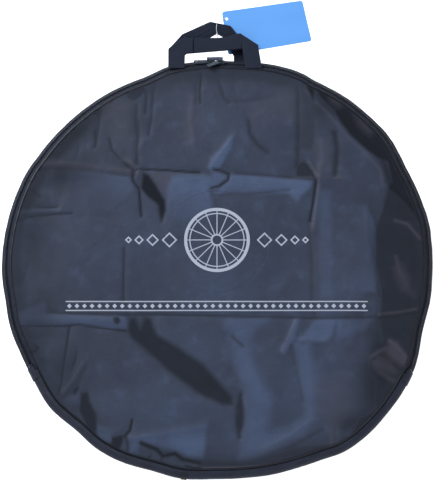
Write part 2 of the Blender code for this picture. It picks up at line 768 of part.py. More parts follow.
def smooth_route(points, step):
    """Points about a step apart on a smooth curve through the given ones."""
    places = [Vector(p) for p in points]
    padded = [2 * places[0] - places[1]] + places + [2 * places[-1] - places[-2]]
    route = []
    for a, b, c, d in zip(padded, padded[1:], padded[2:], padded[3:]):
        count = max(1, round((c - b).length / step))
        for k in range(count):
            t = k / count
            bend = 2 * b + (c - a) * t + (2 * a - 5 * b + 4 * c - d) * t * t
            route.append((bend + (3 * b - a - 3 * c + d) * t * t * t) / 2)
    return route + [places[-1]]


def tag_string():
    """The string's one loop, from its knot over the webbing, through the card and back under."""
    curve = bpy.data.curves.new("tag_string", "CURVE")
    curve.dimensions = "3D"
    curve.bevel_depth = STRING_DIAMETER / 2
    curve.bevel_resolution = 2
    curve.use_fill_caps = True
    route = smooth_route(STRING_POINTS, STRING_STEP)
    spline = curve.splines.new("POLY")
    spline.points.add(len(route) - 1)
    for slot, place in zip(spline.points, route):
        slot.co = (*place, 1)
    made = bpy.data.objects.new("tag_string", curve)
    bpy.context.scene.collection.objects.link(made)
    curve.materials.append(material("string"))
    bm = bmesh.new()
    bmesh.ops.create_icosphere(bm, subdivisions=2, radius=KNOT_RADIUS)
    bmesh.ops.translate(bm, verts=bm.verts[:], vec=KNOT_CENTRE)
    add_object("string_knot", bm, "string")


def build():
    for old in list(bpy.data.objects):
        bpy.data.objects.remove(old)
    back_panel()
    front_panels()
    hub_guards()
    seam_bindings()
    zip_tapes()
    zip_teeth()
    zip_stops()
    edge_strip()
    zip_sliders()
    front_handle()
    rear_handle()
    care_label()
    hang_tag()
    tag_string()
    bpy.context.view_layer.update()


build()
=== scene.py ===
"""Looks for the bike wheel bag: cloth, zip, webbing, card and string, laid out as an add-on."""

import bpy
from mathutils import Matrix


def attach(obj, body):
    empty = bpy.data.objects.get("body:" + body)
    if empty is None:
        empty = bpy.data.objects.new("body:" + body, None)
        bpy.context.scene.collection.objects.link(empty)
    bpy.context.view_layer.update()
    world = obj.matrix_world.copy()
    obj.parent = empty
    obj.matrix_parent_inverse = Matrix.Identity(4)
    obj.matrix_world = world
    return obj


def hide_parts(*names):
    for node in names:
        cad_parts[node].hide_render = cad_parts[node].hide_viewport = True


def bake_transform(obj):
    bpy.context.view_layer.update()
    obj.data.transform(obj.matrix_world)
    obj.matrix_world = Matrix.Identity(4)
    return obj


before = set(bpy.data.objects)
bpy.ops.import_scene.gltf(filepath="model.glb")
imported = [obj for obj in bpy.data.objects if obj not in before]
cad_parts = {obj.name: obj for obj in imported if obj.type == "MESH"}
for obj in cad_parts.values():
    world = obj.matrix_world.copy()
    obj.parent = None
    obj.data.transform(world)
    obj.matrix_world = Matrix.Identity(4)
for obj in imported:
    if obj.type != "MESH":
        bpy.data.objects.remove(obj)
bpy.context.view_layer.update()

import math

import bmesh
import bpy
import numpy as np
from bpy.props import FloatProperty, FloatVectorProperty, PointerProperty
from mathutils import Vector

bl_info = {
    "name": "Bike wheel bag",
    "version": (1, 0, 0),
    "blender": (4, 5, 0),
    "location": "3D View > Sidebar > Wheel bag",
    "description": "Makes the cloth, zip, handles, card and stage of a round bag for one wheel",
    "category": "Object",
}

MM = 0.001
TURN = 2 * math.pi

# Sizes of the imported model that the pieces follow.
SEAM_RADIUS = 342.5 * MM
EDGE_BULGE = 14.5 * MM
BACK_SEAM_HEIGHT = 3.6 * MM
FRONT_SEAM_HEIGHT = 22 * MM
FRONT_TOP = 24 * MM
RIM_RUN = 30 * MM
GAP = 0.3 * MM
HUB_CENTRE_Y = 42 * MM
HUB_RADIUS = 88 * MM
STRIP_JOIN_X = -52 * MM

# The zip. Its chain lies on a slope of 45 degrees, and its ends are angles round the bag.
SLOPE = math.sqrt(0.5)
CHAIN_MIDDLE = 10 * MM
CHAIN_WIDTH = 7 * MM
KNEE_RADIUS = 3 * MM
ZIP_END = math.radians(-30)
OTHER_END = math.pi - ZIP_END
STOP_START = math.radians(-28.1)
STOP_SPAN = 4.5 * MM / SEAM_RADIUS
END_TAB_BELOW = 14 * MM / SEAM_RADIUS
END_TAB_OVER = 6.4 * MM / SEAM_RADIUS
JOIN_SPAN = 9 * MM / SEAM_RADIUS
SLIDER_PLACES = np.radians((90.2, -16.0, -164.0))

# The coil: where its pitch is measured, how far its ends stay off the zip's ends, and where, how
# near to there and how far the front row is parted from the back one under the sliders.
PITCH_RADIUS = SEAM_RADIUS + 7.4 * MM
COIL_OFF_ENDS = math.radians(1.95)
PARTING_PLACE = math.radians(90.25)
PARTING_REACH = (0.05, 0.065)
PARTING = 1.8 * MM

# A stop's outline, as shares of half its width down the slope, and as how far out of it.
STOP_OUTLINE = (
    (1, GAP), (1, 2.4 * MM), (0.8, 3.0 * MM), (0, 3.4 * MM),
    (-0.8, 3.0 * MM), (-1, 2.4 * MM), (-1, GAP), (0, GAP),
)
STOP_SWELL = (0.86, 0.97, 1, 1, 1, 0.97, 0.86)

# The handles' webbing, and the slope, y and z of the lines on which their feet stand.
WEBBING_WIDTH = 28 * MM
WEBBING_THICKNESS = 1.8 * MM
WEBBING_WALL = WEBBING_THICKNESS * 0.93
FRONT_FEET = (math.radians(-11.5), 340.214 * MM, 24.05 * MM)
REAR_FEET = (math.radians(2), 342.281 * MM, 1.2 * MM)

# The front handle's flat layout, in metres over its feet: each leg's outer and inner corner at its
# foot and at its top, and the heights and places of the rows of stitches.
FRONT_LEGS = (
    ((-0.0817, 0), (-0.0537, 0), (-0.0812, 0.0372), (-0.0537, 0.0585)),
    ((0.0761, 0), (0.0481, 0), (0.0708, 0.0430), (0.0405, 0.0650)),
)
LEG_STITCH_HEIGHTS = (0.0035, 0.0085)
GRIP_STITCH_PLACES = (-0.0365, 0.0365)

# The rear handle's middle line: where it starts, how wide and high it is, and its bends as shares
# of that. The band's inner edge runs straight on past its top bend, and then drops.
REAR_START = (-0.0677, 0)
REAR_SPAN = (0.1106, 0.0687)
REAR_BENDS = ((0, 0), (0, 0.432), (0.165, 0.732), (0.526, 1), (0.752, 0.923), (1, 0.408), (1, 0))
REAR_INNER_CORNERS = ((0.8 * MM, 62.0 * MM), (10.2 * MM, 56.5 * MM))

# The care label: its ends along x, its height, its lean, and the y and z of its foot.
LABEL_ENDS = (-0.0165, 0.0105)
LABEL_HEIGHT = 8.5 * MM
LABEL_FOOT = (math.radians(90 - 32), 357.3 * MM, 6.0 * MM)

# The camera stands over the bag, tipped from upright towards its lower edge.
CAMERA_TILT = math.radians(12)
CAMERA_DISTANCE = 6.0
CAMERA_AIM = np.array((-0.0003, 0.0466, 0.015))
PHOTO_WIDTH = 433
PHOTO_HEIGHT = 480
PIXEL = 1.664 * MM
SENSOR = 36.0

# The floor lies low enough for the rear handle to fold under the bag, and reaches past each view.
FLOOR_DROP = 125 * MM
FLOOR_REACH = 16

# Square lamps that face the bag: name, place, size, watts and colour.
LAMPS = (
    ("key", (-2.5, 2.4, 2.5), 1.8, 158, (0.90, 0.95, 1.0)),
    ("sheen", (-0.9, 2.0, 3.4), 1.0, 18, (0.80, 0.90, 1.0)),
    ("fill", (2.6, -1.4, 2.4), 2.4, 34, (0.94, 0.96, 1.0)),
    ("low_fill", (0.8, -3.0, 1.5), 2.0, 26, (0.88, 0.93, 1.0)),
)

# The hang tag's card: its sides, how it lies, its hole, and how far its far end is cut aslant.
CARD_LENGTH = 135 * MM
CARD_WIDTH = 76 * MM
CARD_THICKNESS = 0.5 * MM
CARD_BOTTOM = 1.2 * MM
CARD_CORNER = (8.8 * MM, 443.8 * MM)
CARD_TURN = math.radians(8.2)
CARD_ROUNDING = 4 * MM
CARD_HOLE = (6 * MM, -13.5 * MM)
CARD_HOLE_RADIUS = 2.5 * MM
CARD_SKEW_TOP = 2.4 * MM
CARD_SKEW_BOTTOM = 7.8 * MM
CARD_SKEW_UP = 3.4 * MM

STRING_DIAMETER = 0.8 * MM
STRING_STEP = 0.4 * MM
STRING_TWIST = 1.6 * MM
KNOT_PLACE = (0.0005, 0.4035, 0.0070)
KNOT_RADIUS = 0.75 * MM
KNOT_ROPE = 0.46 * MM
KNOT_TAIL = 0.34 * MM
KNOT_TAIL_LINES = (
    ((0.0005, 0.4038, 0.0072), (0.0019, 0.4028, 0.0070), (0.0042, 0.4008, 0.0066),
     (0.0066, 0.3996, 0.0060), (0.0086, 0.3990, 0.0056)),
    ((0.0005, 0.4036, 0.0070), (0.0014, 0.4018, 0.0068), (0.0032, 0.3994, 0.0064),
     (0.0046, 0.3976, 0.0058)),
)

# The string's route, in metres: over the rear handle's webbing, through the card and back.
STRING_ROUTE = (
    (0.0005, 0.4052, 0.0069), (-0.0004, 0.411, 0.00655), (-0.0002, 0.418, 0.00675),
    (0.0009, 0.4235, 0.00675), (0.0033, 0.4275, 0.0056), (0.0075, 0.4304, 0.0045),
    (0.012, 0.4316, 0.00395), (0.015, 0.4317, 0.0035), (0.0165, 0.4314, 0.00205),
    (0.015, 0.4306, 0.0006), (0.012, 0.429, 0.0005), (0.008, 0.425, 0.00055),
    (0.004, 0.416, 0.0009), (0.0018, 0.405, 0.0012), (0.0009, 0.396, 0.0017),
    (0.0006, 0.3921, 0.0034), (0.0005, 0.3924, 0.0056), (0.0005, 0.3954, 0.0069),
    (0.0005, 0.4018, 0.007),
)

# The print's rings and diamonds: how far from the wheel's middle, and how wide to each side, in mm.
PRINT_RINGS = ((52, 2.6), (45, 0.9), (9, 1.4))
PRINT_DIAMONDS = ((79, 13), (107, 10.5), (129.5, 8), (147, 6))
PRINT_ROW_HALF = 250 * MM
PRINT_ROW_PITCH = 12.5 * MM

# How far the bag's edge departs from its circle: degrees round it, then millimetres outwards. The
# departure grows between two radii.
OUTLINE_FADE = (0.24, 0.335)
OUTLINE = (
    (-179.1, 0.7), (-170, -2.6), (-167, -0.6), (-161, -0.4), (-157, -2.2), (-149.5, -1),
    (-139.7, 5.3), (-130, 0.8), (-123.5, 5.7), (-117.2, 5.3), (-107.1, -0.7), (-99.4, 1.6),
    (-90.2, -3.2), (-82, -1.3), (-72.3, 2.2), (-60.7, 8.8), (-57.5, 15.5), (-54.6, 18.3),
    (-45, 17.4), (-37, 15.4), (-27.5, 12), (-22.5, 6.5), (-19, 1.2), (-16, -0.2), (-13, 0.2),
    (-8, 2.4), (-3.3, 1.6), (6.5, 3.7), (11.6, 5.9), (19.2, 4.2), (28.5, 3.4), (38.2, 10.4),
    (45.7, 8.7), (52.9, 8.2), (63.1, 4.4), (66.9, 8.5), (72, 6.8), (77, 4.8), (80, 2.2),
    (83.5, 0.4), (90.2, -0.4), (97, -0.3), (103.6, -0.5), (109.6, -7.6), (121.6, -5.2),
    (134.6, -4.2), (148.8, -1.6), (151.3, 0.9),
)

# Folds of the front cloth, at places in the photograph: half width and height in mm, how dark,
# how blue and how mauve the fold is, the half width of that tone in mm, and the fold's line. The
# dark is painted shade in the crease, the blue a painted reflection and the mauve a painted
# highlight on the ridge. All folds fade out between two radii, before the seam.
FOLD_FADE = (0.325, 0.3415)
FOLDS = (
    (8, 1.5, 0, 0, 0.35, 5, ((44, 163), (75, 164), (100, 168), (131, 172))),
    (4, -1, 0.45, 0, 0, 2, ((36, 169), (66, 170), (100, 172.5), (131, 176))),
    (5, -1.1, 0.95, 0, 0, 1.8, ((137, 169), (165, 170), (200, 172.5))),
    (4, -0.9, 0.5, 0, 0, 2.2, ((137, 104), (136, 122), (138, 135), (137, 150), (137, 165))),
    (4, -0.8, 0.85, 0, 0, 2.2, ((132, 172), (133, 181), (139, 189), (140, 202), (141, 216))),
    (4, -0.7, 0.6, 0, 0, 2.2, ((146, 91), (146, 103), (145, 113))),
    (4, -0.7, 0.5, 0, 0, 2.2, ((155, 80), (153, 95), (151, 119), (148, 135))),
    (4, -0.8, 0.6, 0, 0, 2.2, ((101, 112), (98, 128), (95, 147))),
    (4, -0.7, 0.65, 0, 0, 2.2, ((109, 138), (112, 150), (119, 158), (129, 167))),
    (5, 0.8, 0, 0, 0.45, 2.5, ((121, 160), (130, 161), (136, 168))),
    (4, -0.6, 0.4, 0, 0, 2.6, ((79, 140), (78, 150), (76, 160))),
    (4, -0.7, 0.65, 0, 0, 1.8, ((201, 72), (200, 88), (200, 103))),
    (4, -0.6, 0.35, 0, 0, 2.4, ((196, 86), (196, 95), (196, 104))),
    (6, 0.8, 0, 0, 0.4, 4, ((193, 97), (191, 120), (194, 142))),
    (4, -1, 0.8, 0, 0, 2, ((127, 166), (134, 170), (133, 177))),
    (4, 0.9, 0, 0, 0.5, 2, ((132, 163), (139, 168), (138, 175))),
    (4, -0.8, 0.7, 0, 0, 2.4, ((28, 187), (34, 191), (40, 197))),
    (4, -0.7, 0.6, 0, 0, 2.2, ((34, 206), (45, 207.5), (57, 207))),
    (4, -0.8, 0.7, 0, 0, 1.8, ((17, 221), (32, 216.5), (50, 214.5), (72, 213))),
    (4, 0.8, 0, 0.5, 0.1, 2.4, ((22, 212), (36, 211), (60, 210))),
    (6, 1, 0, 0.6, 0, 3, ((232, 138), (222, 152), (213, 166))),
    (4, -0.8, 0.8, 0, 0, 2,
     ((213, 169), (222, 171), (229, 174), (228, 180), (219, 186), (211, 188))),
    (4, -0.8, 0.4, 0, 0, 2.4, ((212, 195), (250, 194), (289, 190))),
    (5, -0.9, 0.5, 0, 0, 2.4, ((236, 173), (262, 175), (312, 179))),
    (7, -0.9, 0.5, 0, 0, 5, ((298, 88), (298.5, 130), (297, 165))),
    (4, -1.2, 0.8, 0, 0, 2.2, ((305, 164), (311, 172), (316, 181))),
    (4, 1, 0, 0, 0.7, 1.6, ((309.6, 162), (315, 171), (319.5, 181))),
    (4, 1, 0, 0, 0.6, 1.6, ((321, 165), (320, 173), (319, 181))),
    (5, -1.2, 0.9, 0, 0, 2.4, ((316, 181), (313, 202), (309.6, 221))),
    (5, 1.2, 0, 0, 0.35, 3, ((320, 184), (317, 204), (314, 230))),
    (4, -0.6, 0.35, 0, 0, 2.6, ((309, 225), (312, 262), (312, 300), (315, 318))),
    (7, 0.9, 0, 0.1, 0.3, 5, ((323, 140), (324, 160), (322, 178))),
    (5, -0.9, 0.5, 0, 0, 3, ((335, 131), (337, 150), (335, 176))),
    (12, -2.2, 0.6, 0, 0, 9, ((317, 91), (340, 112), (360, 132), (384, 157), (392, 182))),
    (6, 1.2, 0, 0.15, 0.3, 3,
     ((305, 90), (330, 115), (350, 138), (366, 153), (381, 170), (384, 186))),
    (4, 0.8, 0, 0, 0.4, 2, ((294, 178), (320, 177), (345, 178))),
    (5, 0.9, 0, 0.4, 0, 3, ((366, 212), (369, 250), (369, 262))),
    (5, -0.9, 0.5, 0, 0, 3, ((376, 222), (374, 252), (380, 296))),
    (4, 0.7, 0, 0, 0.55, 2.4, ((395, 220), (408, 224), (420, 238))),
    (4, -0.6, 0.5, 0, 0, 2.4, ((391, 232), (404, 238), (411, 252))),
    (4, -0.6, 0.6, 0, 0, 2.4, ((412, 240), (420, 254), (417, 270))),
    (4, 0.7, 0, 0, 0.5, 2.4, ((396, 256), (400, 272), (408, 284))),
    (4, -0.7, 0.6, 0, 0, 2.4, ((403, 258), (409, 270), (416, 290))),
    (5, -1, 0.95, 0, 0, 2.2, ((379, 318), (400, 316), (423, 311))),
    (5, 0.8, 0, 0, 0.45, 2, ((379, 314), (400, 312), (422, 307.5))),
    (5, -1, 0.55, 0, 0, 2, ((128, 314.5), (170, 314.5), (215, 315.8), (315, 318), (378, 317))),
    (5, -0.9, 0.6, 0, 0, 2, ((45, 312.5), (90, 314), (128, 315))),
    (8, 1, 0, 0.3, 0, 6, ((16, 319), (60, 320), (126, 321))),
    (4, -1, 0.7, 0, 0, 2, ((14, 326), (66, 326), (79, 324.5), (108, 329), (126, 331))),
    (14, -2.4, 0.4, 0, 0, 10, ((133, 322), (160, 344), (190, 368), (228, 400))),
    (8, 1.2, 0, 0.2, 0, 5, ((158, 334), (181, 347), (206, 364), (228, 386))),
    (4, -0.9, 0.7, 0, 0, 2, ((69, 328), (67, 344), (64, 361), (61.7, 381), (57.5, 395))),
    (4, -0.7, 0.5, 0, 0, 3, ((77, 352), (74, 364), (70, 373))),
    (4, -0.7, 0.4, 0, 0, 3, ((87, 367), (79, 380), (66, 398))),
    (4, 0.7, 0, 0.3, 0.3, 2.4, ((83, 362), (74, 378), (63, 392))),
    (8, -1.2, 0.3, 0, 0, 8, ((84, 396), (88, 410), (93, 430))),
    (4, -1, 0.85, 0, 0, 2.2, ((132, 420), (130, 430), (124, 437))),
    (4, -0.8, 0.8, 0, 0, 3, ((113, 438), (118, 447), (112, 453))),
    (4, -0.7, 0.6, 0, 0, 2.4, ((126, 437), (128, 446), (127, 456))),
    (7, 1.1, 0, 0.3, 0, 4, ((130, 439), (168, 434), (206, 427))),
    (5, -1, 0.9, 0, 0, 3.6,
     ((141, 443), (157, 449.5), (163, 456), (175, 453.5), (182, 459), (200, 463))),
    (5, 1.1, 0, 0.3, 0.4, 2.6, ((297, 320), (290, 336), (282, 352))),
    (5, 1, 0, 0.2, 0.2, 3, ((301, 340), (315, 341.5), (328, 340))),
    (5, -0.6, 0.3, 0, 0, 3, ((291, 345), (297, 372), (303, 400))),
    (5, 1.1, 0, 0.3, 0.1, 4, ((314, 419), (290, 436), (262, 450))),
    (6, -1, 0.4, 0, 0, 5, ((322, 430), (295, 445), (262, 458))),
    (7, -1.3, 0.6, 0, 0, 3.4, ((241, 394), (237.5, 408), (237, 424), (239.5, 437))),
    (4, -0.8, 0.6, 0, 0, 2, ((232, 336), (238, 342), (243, 346))),
    (6, -1.2, 0.5, 0, 0, 4,
     ((380, 320), (381, 342), (369, 360), (369, 371), (374, 383), (375, 409))),
    (4, 1, 0, 0, 0.9, 3, ((390, 341), (397, 346), (406, 357), (409, 365))),
    (4, -0.9, 1, 0, 0, 2.2, ((400, 341), (408, 350), (413, 358))),
    (3, 0.5, 0, 0, 1, 1.3, ((203, 467.6), (240, 467.4), (262, 465.5), (284, 462))),
    (3, -0.5, 1, 0, 0, 2, ((186, 466), (200, 469), (215, 470.5), (260, 469), (284, 465))),
    (4, -1, 0.9, 0, 0, 2.6, ((373, 358), (384, 361), (396, 366), (408, 370))),
    (4, 1, 0, 0, 0.5, 3, ((371, 357), (378, 352), (388, 348))),
    (4, -0.9, 0.8, 0, 0, 2.6, ((375, 374), (388, 385), (395, 391))),
    (5, 0.8, 0, 0, 0.4, 3, ((380, 372), (392, 380), (402, 382))),
    (4, 0.8, 0, 0, 0.5, 2.4, ((331, 430), (332, 440), (330, 449))),
    (4, 0.8, 0, 0, 0.4, 2.4, ((338, 426), (338, 438), (336, 447))),
    (4, -0.7, 0.5, 0, 0, 2.2, ((10, 262), (14, 272), (15, 280), (18, 288), (17, 299))),
    (4, -0.7, 0.5, 0, 0, 2.2, ((28, 263), (25, 275), (21, 286))),
    (4, -0.8, 0.8, 0, 0, 2.2, ((27, 356), (34, 351), (38, 348), (36, 345))),
    (4, 0.8, 0, 0.4, 0, 2.4, ((32, 340), (39, 345), (42, 357))),
    (4, -0.8, 0.6, 0, 0, 2.2, ((124, 248), (123.5, 275), (123, 303))),
    (5, -0.7, 0.45, 0, 0, 3, ((218.5, 81), (224, 98), (229, 102.5))),
    (6, -0.8, 0.3, 0, 0, 5, ((229, 102), (250, 101), (275, 97))),
    (6, -0.9, 0.5, 0, 0, 4, ((248.5, 121), (250, 134), (258, 145), (267, 152))),
    (6, 0.7, 0, 0, 0.35, 6, ((255, 117), (265, 112), (276, 113))),
)

# Flat parts between folds, with soft borders: the tone, how strong it is, how soft the border is
# and how high the part stands in mm, the two places between which the tone fades away, and its
# corners. The tone is painted light: shadow is painted shade, shine a painted highlight and mauve
# a painted highlight on a ridge.
BORDER_SOFTNESS = 2.3
FACETS = (
    ("mauve", 0.3, 2, 0.4, None,
     ((44, 163), (50, 160), (75, 161.5), (100, 166), (131, 170), (131, 174), (95, 172), (60, 168))),
    ("shadow", 0.6, 3, -0.6, ((48, 168), (62, 210)),
     ((33, 169), (66, 170), (67, 182), (63, 202), (56, 206), (50, 193), (44, 180))),
    ("shine", 0.5, 2.5, 0.5, ((100, 176), (92, 208)),
     ((67, 170), (100, 172.5), (132, 176.5), (134, 190), (110, 214), (58, 214), (65, 195))),
    ("shadow", 1, 2.5, -1, None,
     ((142, 171), (149, 174.5), (157, 186), (165.5, 200), (166, 211), (161, 222), (158, 206),
      (149, 198), (141, 188))),
    ("shine", 0.95, 3, 0.8, ((190, 188), (186, 236)),
     ((172, 176), (200, 174), (222, 180), (219, 187), (209, 190), (213, 205), (208, 240),
      (166, 240), (165.6, 211), (168, 190))),
    ("mauve", 0.4, 3, 0, None, ((151, 172), (171, 174), (168, 190), (163, 190), (156, 182))),
    ("shadow", 0.6, 2.5, -0.5, None,
     ((134, 106), (137, 104), (139, 118), (140, 135), (138, 150), (138.5, 165), (135, 165),
      (136, 135), (134, 122))),
    ("shadow", 0.6, 2, -0.3, None, ((92, 129), (97, 127), (97, 138), (94.5, 149))),
    ("shine", 1, 2, 0.8, None,
     ((234, 134), (231, 148), (220, 166), (212, 171), (208, 168), (211, 158), (222, 148))),
    ("shine", 1, 2.5, 0.8, ((270, 187), (267, 210)),
     ((230, 174), (262, 176), (312.4, 180.5), (309.6, 188), (301, 197), (298, 206), (289.7, 193),
      (250, 195), (211.4, 196), (222, 187))),
    ("shine", 0.7, 2, 0.3, None, ((212, 172), (220, 173), (227, 176), (226, 179), (214, 186))),
    ("shadow", 0.4, 2.5, -0.5, None,
     ((297, 80), (315, 88), (315.5, 140), (312, 150), (299, 150), (297.5, 120))),
    ("shadow", 0.7, 2.5, -0.5, None,
     ((296, 164), (304, 160), (312, 172), (314, 178.5), (296, 177))),
    ("mauve", 0.45, 3, 0.3, None, ((316, 140), (331, 137), (331, 174), (326, 178), (317, 176))),
    ("shadow", 0.65, 2.5, -0.5, None,
     ((331, 131), (338, 130), (340, 150), (338, 174), (332, 178), (334, 150))),
    ("shadow", 1, 3, -1.4, None,
     ((314, 84), (318, 95.5), (333.7, 111.2), (348, 134), (366.4, 151), (386.4, 162.4),
      (392, 182.3), (409, 196.5), (424, 216), (413, 184), (399, 158), (385, 138), (368, 121),
      (350, 106), (330, 91))),
    ("mauve", 0.5, 3, 0.5, None, ((330, 96), (338, 97), (343, 104), (338, 107), (331, 102))),
    ("mauve", 0.45, 3, 0.6, None, ((354, 113), (363, 119), (374, 130), (370, 135), (359, 125))),
    ("shine", 0.35, 3, 0.3, None, ((319, 190), (332, 191), (332, 298), (320, 298))),
    ("shine", 0.75, 2.5, 0.5, ((374, 240), (350, 240)),
     ((366, 205), (375, 222), (373.6, 262), (376, 292), (345, 292), (345, 205))),
    ("shadow", 0.8, 3, -1, None,
     ((389, 182), (381, 210.8), (375.5, 225), (374, 259), (381, 295.6), (379.3, 319.7),
      (381, 342.5), (368.5, 359.6), (368, 371), (374, 382.3), (375, 409.3), (359.3, 417),
      (345, 444), (372, 428), (399, 398), (414, 370), (422, 345), (429, 315), (432, 290),
      (432, 259), (426, 223), (411, 196), (397, 180))),
    ("shine", 0.6, 2, 0.6, None,
     ((15, 314.5), (32.3, 306.3), (44.9, 303), (47, 313.3), (126.3, 315.6), (128.4, 328),
      (108, 328.8), (78.6, 324), (14, 325.2))),
    ("shadow", 0.6, 2.5, -0.4, None, ((47.5, 304), (53, 308), (66, 312.5), (48, 312.8))),
    ("shadow", 0.85, 2, 0, None, ((113, 318), (118, 316.5), (121, 321), (117, 325), (114, 322))),
    ("shadow", 0.84, 4, -1.6, None,
     ((129, 316.5), (136.8, 316.1), (140.3, 328), (145, 316.5), (151, 319), (158.6, 334.4),
      (181, 348), (206, 366), (221, 384), (232, 396), (233, 405), (222, 405), (202, 396),
      (171.2, 374), (148.7, 353.6), (133.3, 341.4), (127, 330.2))),
    ("shadow", 0.7, 2, -0.5, None, ((77, 350), (78, 358), (73, 372), (69, 374), (71, 363))),
    ("shadow", 0.55, 3, -0.5, None, ((87, 366), (84, 380), (76, 395), (64, 400), (74, 384))),
    ("shadow", 0.85, 3, -0.8, None,
     ((81, 393), (88.4, 391.5), (90, 402), (97, 412), (97, 436), (87, 430), (78.6, 412))),
    ("shine", 0.5, 3, 0.4, None, ((65, 399), (78, 393), (79, 402), (70, 408))),
    ("shine", 0.7, 3, 0.5, None, ((98, 425), (110, 431), (113, 438), (106, 446), (97, 438))),
    ("shadow", 0.9, 2.5, -0.6, None, ((112, 437), (123, 434), (124, 440), (119, 454), (108, 450))),
    ("shine", 0.9, 3, 0.8, ((175, 446), (172, 420)),
     ((129, 438), (154, 430), (196, 424), (208, 422), (203, 458), (186.6, 456), (168.4, 449),
      (140.3, 443), (136, 453), (129, 455))),
    ("shine", 0.7, 6, 0.8, None,
     ((224, 321), (270, 318), (258, 326), (251, 345), (255, 365), (262, 381), (272, 402),
      (271, 430), (290, 428), (309, 416), (316, 419), (296, 438), (270, 453), (240, 458),
      (246, 431), (245, 395), (234, 350))),
    ("shine", 0.9, 2, 0.6, None,
     ((295, 319.5), (300, 319.5), (294, 340), (284, 354), (281, 352), (288, 335))),
    ("shine", 0.85, 2.5, 0.6, None,
     ((300, 339.6), (315.2, 321), (328, 318), (336.6, 319.7), (331, 337), (324, 342), (301, 341))),
    ("shine", 0.55, 4, 0.3, None, ((336, 319.7), (371, 319.7), (363.6, 329), (338, 340))),
    ("shine", 0.65, 5, 0.5, None,
     ((296, 345), (309.6, 343), (316, 380.9), (314.5, 418), (306, 416.5), (300, 373.8))),
    ("shadow", 0.8, 2.5, -0.8, None,
     ((241.5, 392), (237, 405), (235, 423.6), (240, 438), (243.5, 423.6), (245, 409.3))),
    ("shadow", 0.65, 4, -0.6, None,
     ((196, 459), (245.6, 460), (295.3, 446), (345, 440), (340, 456), (281, 470), (196, 470))),
    ("mauve", 0.3, 6, 0.3, None, ((312, 378), (346, 376), (354, 408), (338, 426), (316, 412))),
    ("mauve", 0.6, 2.5, 0.4, None,
     ((384, 352), (391, 342), (397, 341), (403, 351), (410, 360), (405, 367), (395, 361))),
    ("mauve", 0.4, 2.5, 0.3, None,
     ((371, 363), (377, 355), (386, 357), (392, 362), (398, 373), (386, 374), (376, 369))),
    ("mauve", 0.35, 3, 0.3, None, ((392, 268), (400, 262), (410, 276), (414, 296), (402, 290))),
    ("shadow", 0.7, 2, -0.4, None,
     ((128, 92), (143, 85), (147, 89), (141, 97), (134, 101), (127, 98))),
    ("shadow", 0.7, 2, -0.4, None,
     ((86, 113), (104, 101), (104, 112), (99, 122), (95, 116), (88, 118))),
    ("shadow", 0.6, 2, -0.4, None, ((77, 126), (88, 117), (91, 121), (86, 131), (80, 131))),
    ("shadow", 0.6, 2, -0.4, None, ((50, 151), (64, 138), (67, 143), (58, 151))),
    ("shadow", 0.7, 2, -0.4, None,
     ((15, 328), (21, 328), (28, 348), (33, 358), (27, 358), (20, 345))),
    ("mauve", 0.35, 6, 0, None, ((290, 85), (297, 86), (297, 120), (255, 122), (252, 108))),
    ("mauve", 0.35, 6, 0.2, None, ((190, 97), (198, 97), (198, 139), (190, 142))),
    ("mauve", 0.3, 6, 0.2, None,
     ((104, 102), (118, 95), (133, 105), (133, 150), (118, 152), (104, 130))),
)

# How much darker the panel is along its seam, at angles in degrees.
EDGE_SHADES = (
    (-170, 0.6), (-155, 0.7), (-140, 0.5), (-110, 0.2), (-80, 0.2), (-60, 0.3), (-40, 0.7),
    (-25, 0.4), (-10, 0.05), (10, 0.1), (30, 0.35), (45, 0.3), (60, 0.5), (90, 0.6), (105, 0.5),
    (120, 0.4), (135, 0.8), (150, 0.75), (170, 0.65),
)

# Broad swells of the cloth: place in the photograph, half widths in pixels, height in mm, and how
# dark, blue and mauve they are: painted shade, painted reflection and painted highlight.
SWELLS = (
    (250, 120, 60, 40, 2, 0, 0.15, 0), (240, 104, 60, 26, 0, 0.2, 0, 0),
    (92, 195, 42, 50, 0, 0.25, 0, 0), (88, 340, 42, 48, 0, 0.22, 0, 0),
    (384, 362, 20, 46, 0, 0.95, 0, 0), (370, 240, 14, 46, 0, 0.5, 0, 0),
    (90, 250, 50, 46, 2.2, 0, 0.1, 0), (400, 250, 30, 75, -1.8, 0, 0, 0),
    (170, 410, 46, 26, 1.8, 0, 0.3, 0), (268, 385, 34, 40, 1.8, 0, 0.2, 0),
    (335, 270, 30, 46, 1.6, 0, 0.1, 0.1), (306, 392, 34, 40, 0, 0, 0.35, 0),
    (195, 352, 26, 26, 0, 0, 0.3, 0), (60, 360, 34, 30, 1.4, 0, 0.1, 0),
    (26, 230, 36, 62, -1, 0.6, 0, 0), (64, 172, 46, 22, 0, 0.7, 0, 0),
    (55, 370, 44, 38, 0, 0.55, 0, 0), (104, 112, 36, 26, 0, 0.42, 0, 0),
    (322, 108, 20, 18, 0, 0.6, 0, 0), (372, 385, 18, 42, 0, 0.75, 0, 0),
    (352, 424, 22, 16, 0, 0.7, 0, 0), (372, 255, 12, 40, 0, 0.5, 0, 0),
    (216, 275, 40, 34, 1.2, 0, 0.2, 0), (170, 120, 28, 34, -1.2, 0.1, 0, 0),
    (345, 100, 40, 20, -0.8, 0.2, 0, 0), (30, 325, 40, 44, -0.8, 0.65, 0, 0),
    (25, 370, 24, 30, -0.6, 0.45, 0, 0),
)


def smooth(value, low, high):
    """0 below low, 1 above high, and the cubic 3t² - 2t³ in between."""
    t = np.clip((value - low) / (high - low), 0, 1)
    return t * t * (3 - 2 * t)


def circle(count):
    """That many even angles all round."""
    return np.linspace(0, TURN, count, endpoint=False)


def outline_table(reach=9, width=2.2):
    """The edge's departures at each degree: straight between those given, then a bell average."""
    degrees = np.arange(-180, 180)
    given = np.array(OUTLINE)
    level = np.interp(degrees, given[:, 0], given[:, 1], period=360)
    bell = np.exp(-((np.arange(-reach, reach + 1) / width) ** 2))
    padded = np.concatenate((level[-reach:], level, level[:reach]))
    return degrees, np.convolve(padded, bell / bell.sum(), "valid") * MM


